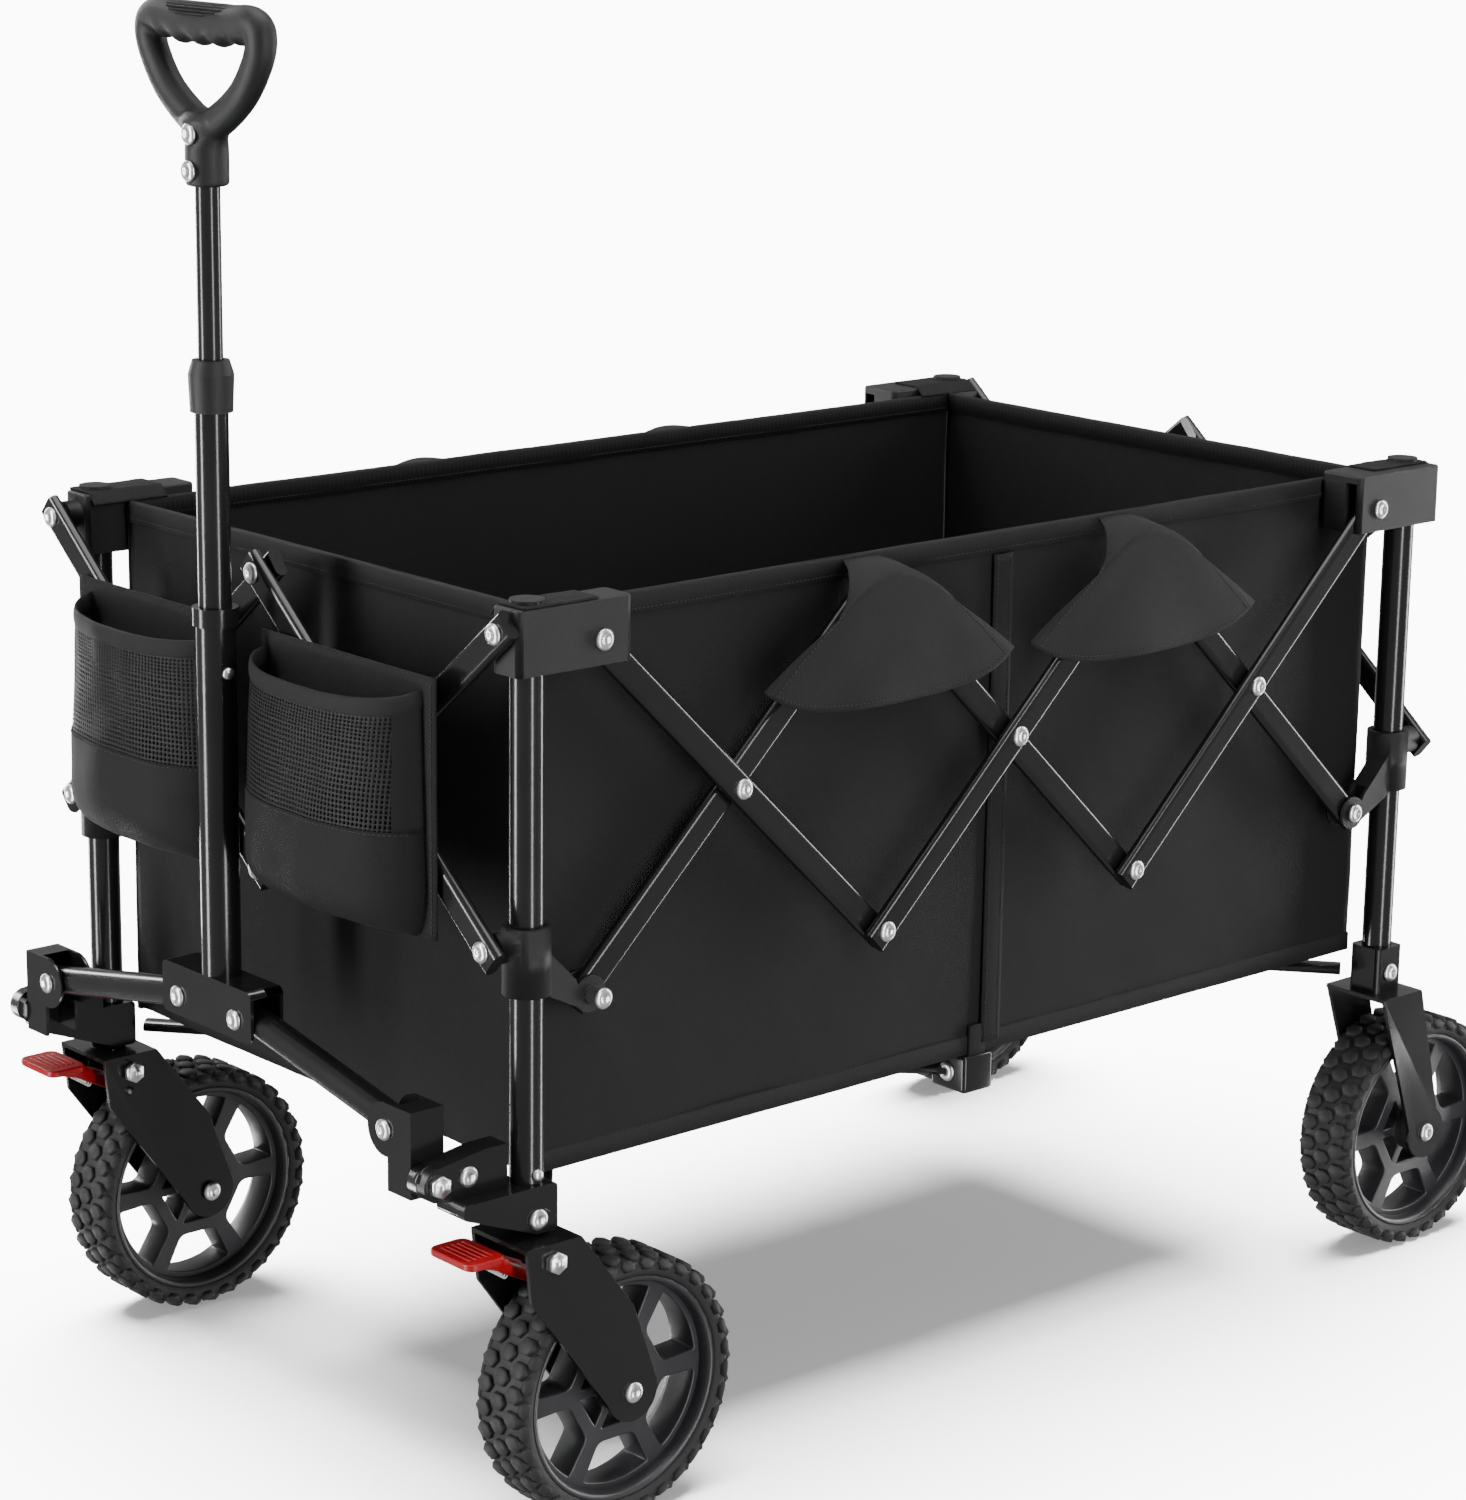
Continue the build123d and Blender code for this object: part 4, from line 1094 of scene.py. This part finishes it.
for end, side in ends_and_sides:
    centre = pivot(f"wheel_spin_{end}_{side}")
    lugs, teeth = [], []
    for n in range(lug_count):
        for row, x in ((0, -lug_row), (1, 0.0), (0, lug_row)):
            angle = 2 * pi * (n + 0.5 * row) / lug_count
            out = Vector((0, cos(angle), sin(angle)))
            lugs.append((centre + Vector((x, 0, 0)) + out * tread_radius, out, Vector((1, 0, 0))))
        angle = 2 * pi * (n + 0.5) / lug_count
        spoke_way, round_way = Vector((0, cos(angle), sin(angle))), Vector((0, -sin(angle), cos(angle)))
        for x in (-shoulder_x, shoulder_x):
            place = centre + Vector((x, 0, 0)) + spoke_way * shoulder_radius
            teeth.append((place, (spoke_way + Vector((x * shoulder_lean, 0, 0))).normalized(), round_way))
    tyre_parts = [
        lathe("tyre", tyre_outline, centre, rubber, 96),
        scatter("lugs", lugs, lug, rubber),
        scatter("teeth", teeth, tooth, rubber),
    ]
    rim_parts = [
        rim_web("web", centre, 0.0105),
        lathe("band", rim_outline, centre, rim_black, 96),
        lathe("hub", hub_outline, centre, rim_black, 32),
    ]
    tyre = join(f"tyre_{end}_{side}", tyre_parts)
    rim = join(f"rim_{end}_{side}", rim_parts)
    for made, slot_name in ((tyre, "tyre_rubber"), (rim, "grip_plastic")):
        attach(made, f"wheel_{end}_{side}")
    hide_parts(f"wheel_{end}_{side}")


# ---- Handle grip ----
# A moulded D grip: round bars, finger waves under the top bar, a dotted inlay on it, and a neck over
# the tube.
grip_low, grip_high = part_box("handle_grip")
grip_y = (grip_low.y + grip_high.y) / 2
grip_height = grip_high.z - grip_low.z
half_grip = (grip_high.x - grip_low.x) / 2


def grip_line(share):
    """The middle of the D's bar at a share of the way round from the neck, and the bar's radius there."""
    guide = [
        (0.0, 0.330, 0.0110), (0.26, 0.385, 0.0108), (0.60, 0.530, 0.0104), (0.83, 0.720, 0.0104),
        (0.872, 0.850, 0.0108), (0.74, 0.905, 0.0118), (0.40, 0.892, 0.0126), (0.0, 0.889, 0.0128),
    ]
    mirrored = guide + [(-x, z, r) for x, z, r in reversed(guide[1:-1])]
    place = (share % 1.0) * len(mirrored)
    index = int(place)
    part = place - index
    p = [mirrored[(index + offset) % len(mirrored)] for offset in (-1, 0, 1, 2)]
    values = []
    for k in range(3):
        a, b, c, d = (q[k] for q in p)
        bend, twist = 2 * a - 5 * b + 4 * c - d, 3 * b - a - 3 * c + d
        values.append(0.5 * (2 * b + (c - a) * part + bend * part**2 + twist * part**3))
    return Vector((values[0] * half_grip, grip_y, grip_low.z + values[1] * grip_height)), values[2]


def grip_body():
    """The D's bar and neck, melted together into one moulding."""
    steps, sides, neck_sides = 120, 20, 28
    wave_half, wave_pitch = 0.042, 0.0105
    points = []
    for step in range(steps):
        place, radius = grip_line(step / steps)
        ahead = grip_line((step + 1) / steps)[0]
        behind = grip_line((step - 1) / steps)[0]
        along = (ahead - behind).normalized()
        inward_way = Vector((0, 1, 0)).cross(along).normalized()
        on_top = place.z > grip_low.z + 0.86 * grip_height
        wave = 0.0016 * cos(place.x / wave_pitch * pi) if on_top and abs(place.x) < wave_half else 0.0
        for side_step in range(sides):
            angle = 2 * pi * side_step / sides
            way = inward_way * cos(angle) + Vector((0, 1, 0)) * sin(angle) * 0.94
            swell = wave * max(0.0, -way.z) if on_top else 0.0
            points.append(place + way * (radius + swell))
    ring = outward(piece("grip_ring", points, ring_faces(steps, sides, closed=True), nylon))
    neck_line = [
        (0.0, 0.0132), (0.002, 0.0140), (0.024, 0.0140), (0.031, 0.0165), (0.040, 0.0215), (0.047, 0.0150),
    ]
    neck_points = []
    for height, radius in neck_line:
        depth = radius * (1.0 if height < 0.025 else 0.72)
        for step in range(neck_sides):
            angle = 2 * pi * step / neck_sides
            neck_points.append((radius * cos(angle), grip_y + depth * sin(angle), grip_low.z + height))
    neck_faces = ring_faces(len(neck_line), neck_sides)
    neck_faces.append(tuple(reversed(range(neck_sides))))
    neck_faces.append(tuple(range(len(neck_points) - neck_sides, len(neck_points))))
    neck = outward(piece("grip_neck", neck_points, neck_faces, nylon))
    made = join("handle_grip_body", [ring, neck])
    modifier(made, "REMESH", mode="VOXEL", voxel_size=0.0011, use_smooth_shade=True)
    modifier(made, "SMOOTH", factor=0.6, iterations=14)
    plain(made)
    made.data.materials.clear()
    made.data.materials.append(nylon)
    return made


grip = grip_body()
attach(grip, "handle_upper")
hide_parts("handle_grip")
dot = small_shape("dot", [(0.0008, 0.0), (0.0007, 0.0008), (0.0003, 0.0011)], 6)
dot_pitch = 0.0024
crown_radius = 0.0130
crown_height = grip_low.z + 0.880 * grip_height
inlay_half, inlay_rows, inlay_lean = 0.033, 4.6, radians(18)
inlay_places = []
for column in range(-14, 15):
    for row in range(-5, 6):
        x, lean = column * dot_pitch, inlay_lean + row * dot_pitch / crown_radius
        if (x / inlay_half) ** 2 + (row / inlay_rows) ** 2 < 1:
            out = Vector((0, -sin(lean), cos(lean)))
            spot = Vector((x, grip_y, crown_height)) + out * crown_radius
            inlay_places.append((spot, out, Vector((1, 0, 0))))
inlay = scatter("grip_inlay", inlay_places, dot, rubber)
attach(inlay, "handle_upper")
grip_rivet_places = [
    (Vector((0, grip_y - 0.0136, grip_low.z + 0.010)), front, upright),
    (Vector((0, grip_y - 0.0128, grip_low.z + 0.033)), front, upright),
]
grip_rivets = scatter("grip_rivets", grip_rivet_places, dome, bright)
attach(grip_rivets, "handle_upper")


# ---- Spring buttons of the handle tube and front posts ----
# A bright snap button locks the middle tube through a hole in the lower one, and each front post has one
# more.
tube_low, tube_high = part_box("handle_lower_tube")
tube_middle = (tube_low + tube_high) / 2
button_outline = [(0.0042, 0.0), (0.0040, 0.0016), (0.0028, 0.0030), (0.0008, 0.0034)]
spring_button = small_shape("spring_button", button_outline, 16)
foot_button_height = 0.2475
button_spot = Vector((tube_middle.x + 0.0128, tube_middle.y, tube_high.z - 0.042))
button = scatter("snap_button", [(button_spot, Vector((1, 0, 0)), upright)], spring_button, bright)
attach(button, "handle_base")
for side, way in side_names.items():
    foot = post[f"front_{side}"]
    place = (Vector((foot.x + way * 0.0104, foot.y, foot_button_height)), Vector((way, 0, 0)), upright)
    button = scatter(f"foot_button_{side}", [place], spring_button, bright)
    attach(button, f"front_{side}_corner")


# ---- Brake pedals ----
# A red foot plate with rounded corners and shallow ribs, on two arms that reach back to the pin in the
# fork, with a bright return spring between the arms.
def red_plastic():
    """Glossy red moulded plastic, a little paler where shoes have scuffed it."""
    finish = Finish("red_plastic", (0.27, 0.002, 0.005), 0.36, Specular_IOR_Level=0.3)
    scuff = finish.noise(finish.spot(), 120.0, 5.0)
    finish.set("Base Color", finish.between(scuff, (0.22, 0.001, 0.003), (0.31, 0.004, 0.007)))
    finish.set("Roughness", 0.26 + scuff * 0.2)
    finish.relief(finish.noise(finish.spot(), 900.0), 0.0001)
    return finish.material


red = red_plastic()
plate_depth, plate_thickness, plate_corner = 0.030, 0.0050, 0.008
rib_count, rib_pitch, rib_half_length, rib_width = 5, 0.0042, 0.015, 0.0018
coil_radius = 0.0034


def foot_plate(name, low, high, corner, thickness):
    """A plate rounded in plan, with soft upper and lower edges."""
    spots = ((low.x, low.y), (high.x, low.y), (high.x, high.y), (low.x, high.y))
    outline = rounded([Vector(spot) for spot in spots], corner, 8)
    count = len(outline)
    points = [(p.x, p.y, high.z - thickness) for p in outline] + [(p.x, p.y, high.z) for p in outline]
    faces = [(n, (n + 1) % count, count + (n + 1) % count, count + n) for n in range(count)]
    faces += [tuple(reversed(range(count))), tuple(range(count, 2 * count))]
    made = outward(piece(name, points, faces, red))
    modifier(made, "BEVEL", width=0.0015, segments=3, limit_method="ANGLE", angle_limit=radians(50))
    modifier(made, "WEIGHTED_NORMAL", keep_sharp=True, weight=80)
    return plain(made)


for side, way in side_names.items():
    low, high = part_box(f"brake_pedal_{side}")
    centre_x = (low.x + high.x) / 2
    plate_back = low.y + plate_depth
    plate_high = Vector((high.x, plate_back, high.z))
    parts = [foot_plate("plate", low, plate_high, plate_corner, plate_thickness)]
    for n in range(rib_count):
        rib_y = low.y + 0.0055 + rib_pitch * n
        rib_low = Vector((centre_x - rib_half_length, rib_y, high.z - 0.001))
        rib_high = Vector((centre_x + rib_half_length, rib_y + rib_width, high.z + 0.0006))
        parts.append(block("rib", rib_low, rib_high, 0.0006, red))
    for arm_x in (centre_x - 0.0085, centre_x + 0.0085):
        arm = [
            Vector((arm_x, plate_back - 0.014, high.z - 0.0045)),
            Vector((arm_x, plate_back, high.z - 0.0085)),
            Vector((arm_x, high.y - 0.007, low.z + 0.007)),
        ]
        parts.append(tube("arm", arm, 0.0050, red, flat=0.5))
    coil_start = Vector((centre_x, plate_back - 0.001, high.z - 0.0115))
    turns = [2 * pi * t / 12 for t in range(97)]
    coil = [
        coil_start + Vector((coil_radius * cos(t), 0.0003 * t, coil_radius * sin(t) - 0.0002 * t))
        for t in turns
    ]
    parts.append(tube("spring", coil, 0.0006, bright, sides=6))
    pedal = join(f"brake_pedal_plate_{side}", parts)
    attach(pedal, f"brake_pedal_{side}")
    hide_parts(f"brake_pedal_{side}")


# ---- Corner tabs ----
# Cloth tabs from the rim's corners over the top brackets, with the bracket's round cap standing through.
tab_cells, tab_lift, tab_margin = 24, 0.0008, 0.0125
for end, side in ends_and_sides:
    way, end_way = side_names[side], end_names[end]
    low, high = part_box(f"top_bracket_{end}_{side}")
    centre = post[f"{end}_{side}"]
    top = high.z - 0.004 + tab_lift
    inner_x, outer_x = wall_high.x - 0.004, abs(centre.x) + tab_margin
    inner_y, outer_y = half_end - 0.030, abs(centre.y - middle_y) + tab_margin
    points, uvs = [], []
    for row in range(tab_cells + 1):
        for column in range(tab_cells + 1):
            u, v = column / tab_cells, row / tab_cells
            x = inner_x + (outer_x - inner_x) * u
            y = inner_y + (outer_y - inner_y) * v
            slope = max(0.0, 0.25 - u) * 0.030
            ripple = 0.0005 * noise.noise(Vector((x, y, 1)) * 90)
            points.append(Vector((way * x, middle_y + end_way * y, top - slope + ripple)))
            uvs.append((x, y))
    tab_faces = grid_faces(tab_cells, tab_cells)
    tab = outward(piece(f"corner_tab_{end}_{side}", points, tab_faces, oxford, uvs=uvs))
    modifier(tab, "SOLIDIFY", thickness=0.0016, offset=0.0)
    plain(tab)
    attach(tab, f"{end}_{side}_corner")


# ---- Studio ----
# A pale floor in a round white wall, tall soft lights round the wagon that draw bright lines down its
# tubes, a broad light above it, and the camera before the wagon's right-hand front corner.
def backdrop_finish(name, glow):
    """A pale matt surface that glows by itself."""
    finish = Finish(name, (0.9, 0.9, 0.9), 0.9)
    finish.set("Emission Color", (1, 1, 1, 1))
    finish.set("Emission Strength", glow)
    return finish.material


studio_radius, studio_height, studio_sides = 22.0, 14.0, 64
bearings = [2 * pi * n / studio_sides for n in range(studio_sides)]
floor_edge = [Vector((studio_radius * cos(t), studio_radius * sin(t), 0)) for t in bearings]
wall_top = [point + Vector((0, 0, studio_height)) for point in floor_edge]
wall_faces = [
    (n, studio_sides + n, studio_sides + (n + 1) % studio_sides, (n + 1) % studio_sides)
    for n in range(studio_sides)
]
floor_finish = backdrop_finish("studio_floor", 0.25)
ground = piece("studio_floor", floor_edge, [tuple(range(studio_sides))], floor_finish)
wall_finish = backdrop_finish("studio_wall", 10.0)
backdrop = piece("studio_wall", floor_edge + wall_top, wall_faces, wall_finish)
for stage_piece in (ground, backdrop):
    stage_piece.visible_glossy = False
    stage_piece.visible_diffuse = False
    stage_piece.visible_shadow = False
only_floor = bpy.data.collections.new("only_floor")
only_floor.objects.link(ground)
only_wagon = bpy.data.collections.new("only_wagon")
for made in bpy.context.scene.objects:
    if made.type == "MESH" and made not in (ground, backdrop):
        only_wagon.objects.link(made)

turn, rise, roll = radians(48.58), radians(14.07), radians(0.78)
distance, aim_height, shift_right, shift_up = 2.968, 0.3294, -0.0227, 0.0763
back = Vector((sin(turn) * cos(rise), -cos(turn) * cos(rise), sin(rise)))
right = Vector((cos(turn), sin(turn), 0))
up = back.cross(right)
eye = Vector((0, middle_y, aim_height)) + back * distance + right * shift_right + up * shift_up
tilted_right = right * cos(roll) + up * sin(roll)
tilted_up = up * cos(roll) - right * sin(roll)
lens = bpy.data.cameras.new("camera")
lens.lens = 97.6
camera = placed("camera", lens)
camera.matrix_world = Matrix.Translation(eye) @ Matrix((tilted_right, tilted_up, back)).transposed().to_4x4()
bpy.context.scene.camera = camera

world = bpy.data.worlds.new("studio")
world.use_nodes = True
sky = world.node_tree.nodes["Background"].inputs
sky["Color"].default_value = (1, 1, 1, 1)
sky["Strength"].default_value = 0.45
bpy.context.scene.world = world


def softbox(name, place, width, height, power):
    """A soft rectangular light that faces the wagon, and lights only the wagon."""
    light = bpy.data.lights.new(name, "AREA")
    light.shape = "RECTANGLE"
    light.size, light.size_y = width, height
    light.energy = power
    lamp = placed(name, light)
    lamp.location = place
    aim = Vector((0, 0, 0.4)) - Vector(place)
    lamp.rotation_euler = aim.to_track_quat("-Z", "Y").to_euler()
    lamp.visible_camera = False
    lamp.light_linking.receiver_collection = only_wagon


strip_distance, strip_height, strip_width, strip_length = 3.0, 0.5, 0.45, 4.4
for name, bearing, power in (("left", -18, 170), ("near", 80, 105), ("rear", 160, 110), ("far", 277, 110)):
    t = radians(bearing)
    place = (strip_distance * sin(t), -strip_distance * cos(t), strip_height)
    softbox(f"strip_light_{name}", place, strip_width, strip_length, power)
softbox("top_light", (0.1, 0.1, 3.6), 3.0, 3.0, 150)

floor_light = bpy.data.lights.new("floor_light", "SUN")
floor_light.energy = 38
floor_light.angle = radians(55)
floor_lamp = placed("floor_light", floor_light)
back_way = Vector((-right.y, right.x, 0))
lamp_way = back_way * 0.14 - right * 0.12 + upright
floor_lamp.rotation_euler = lamp_way.to_track_quat("Z", "Y").to_euler()
floor_lamp.light_linking.receiver_collection = only_floor
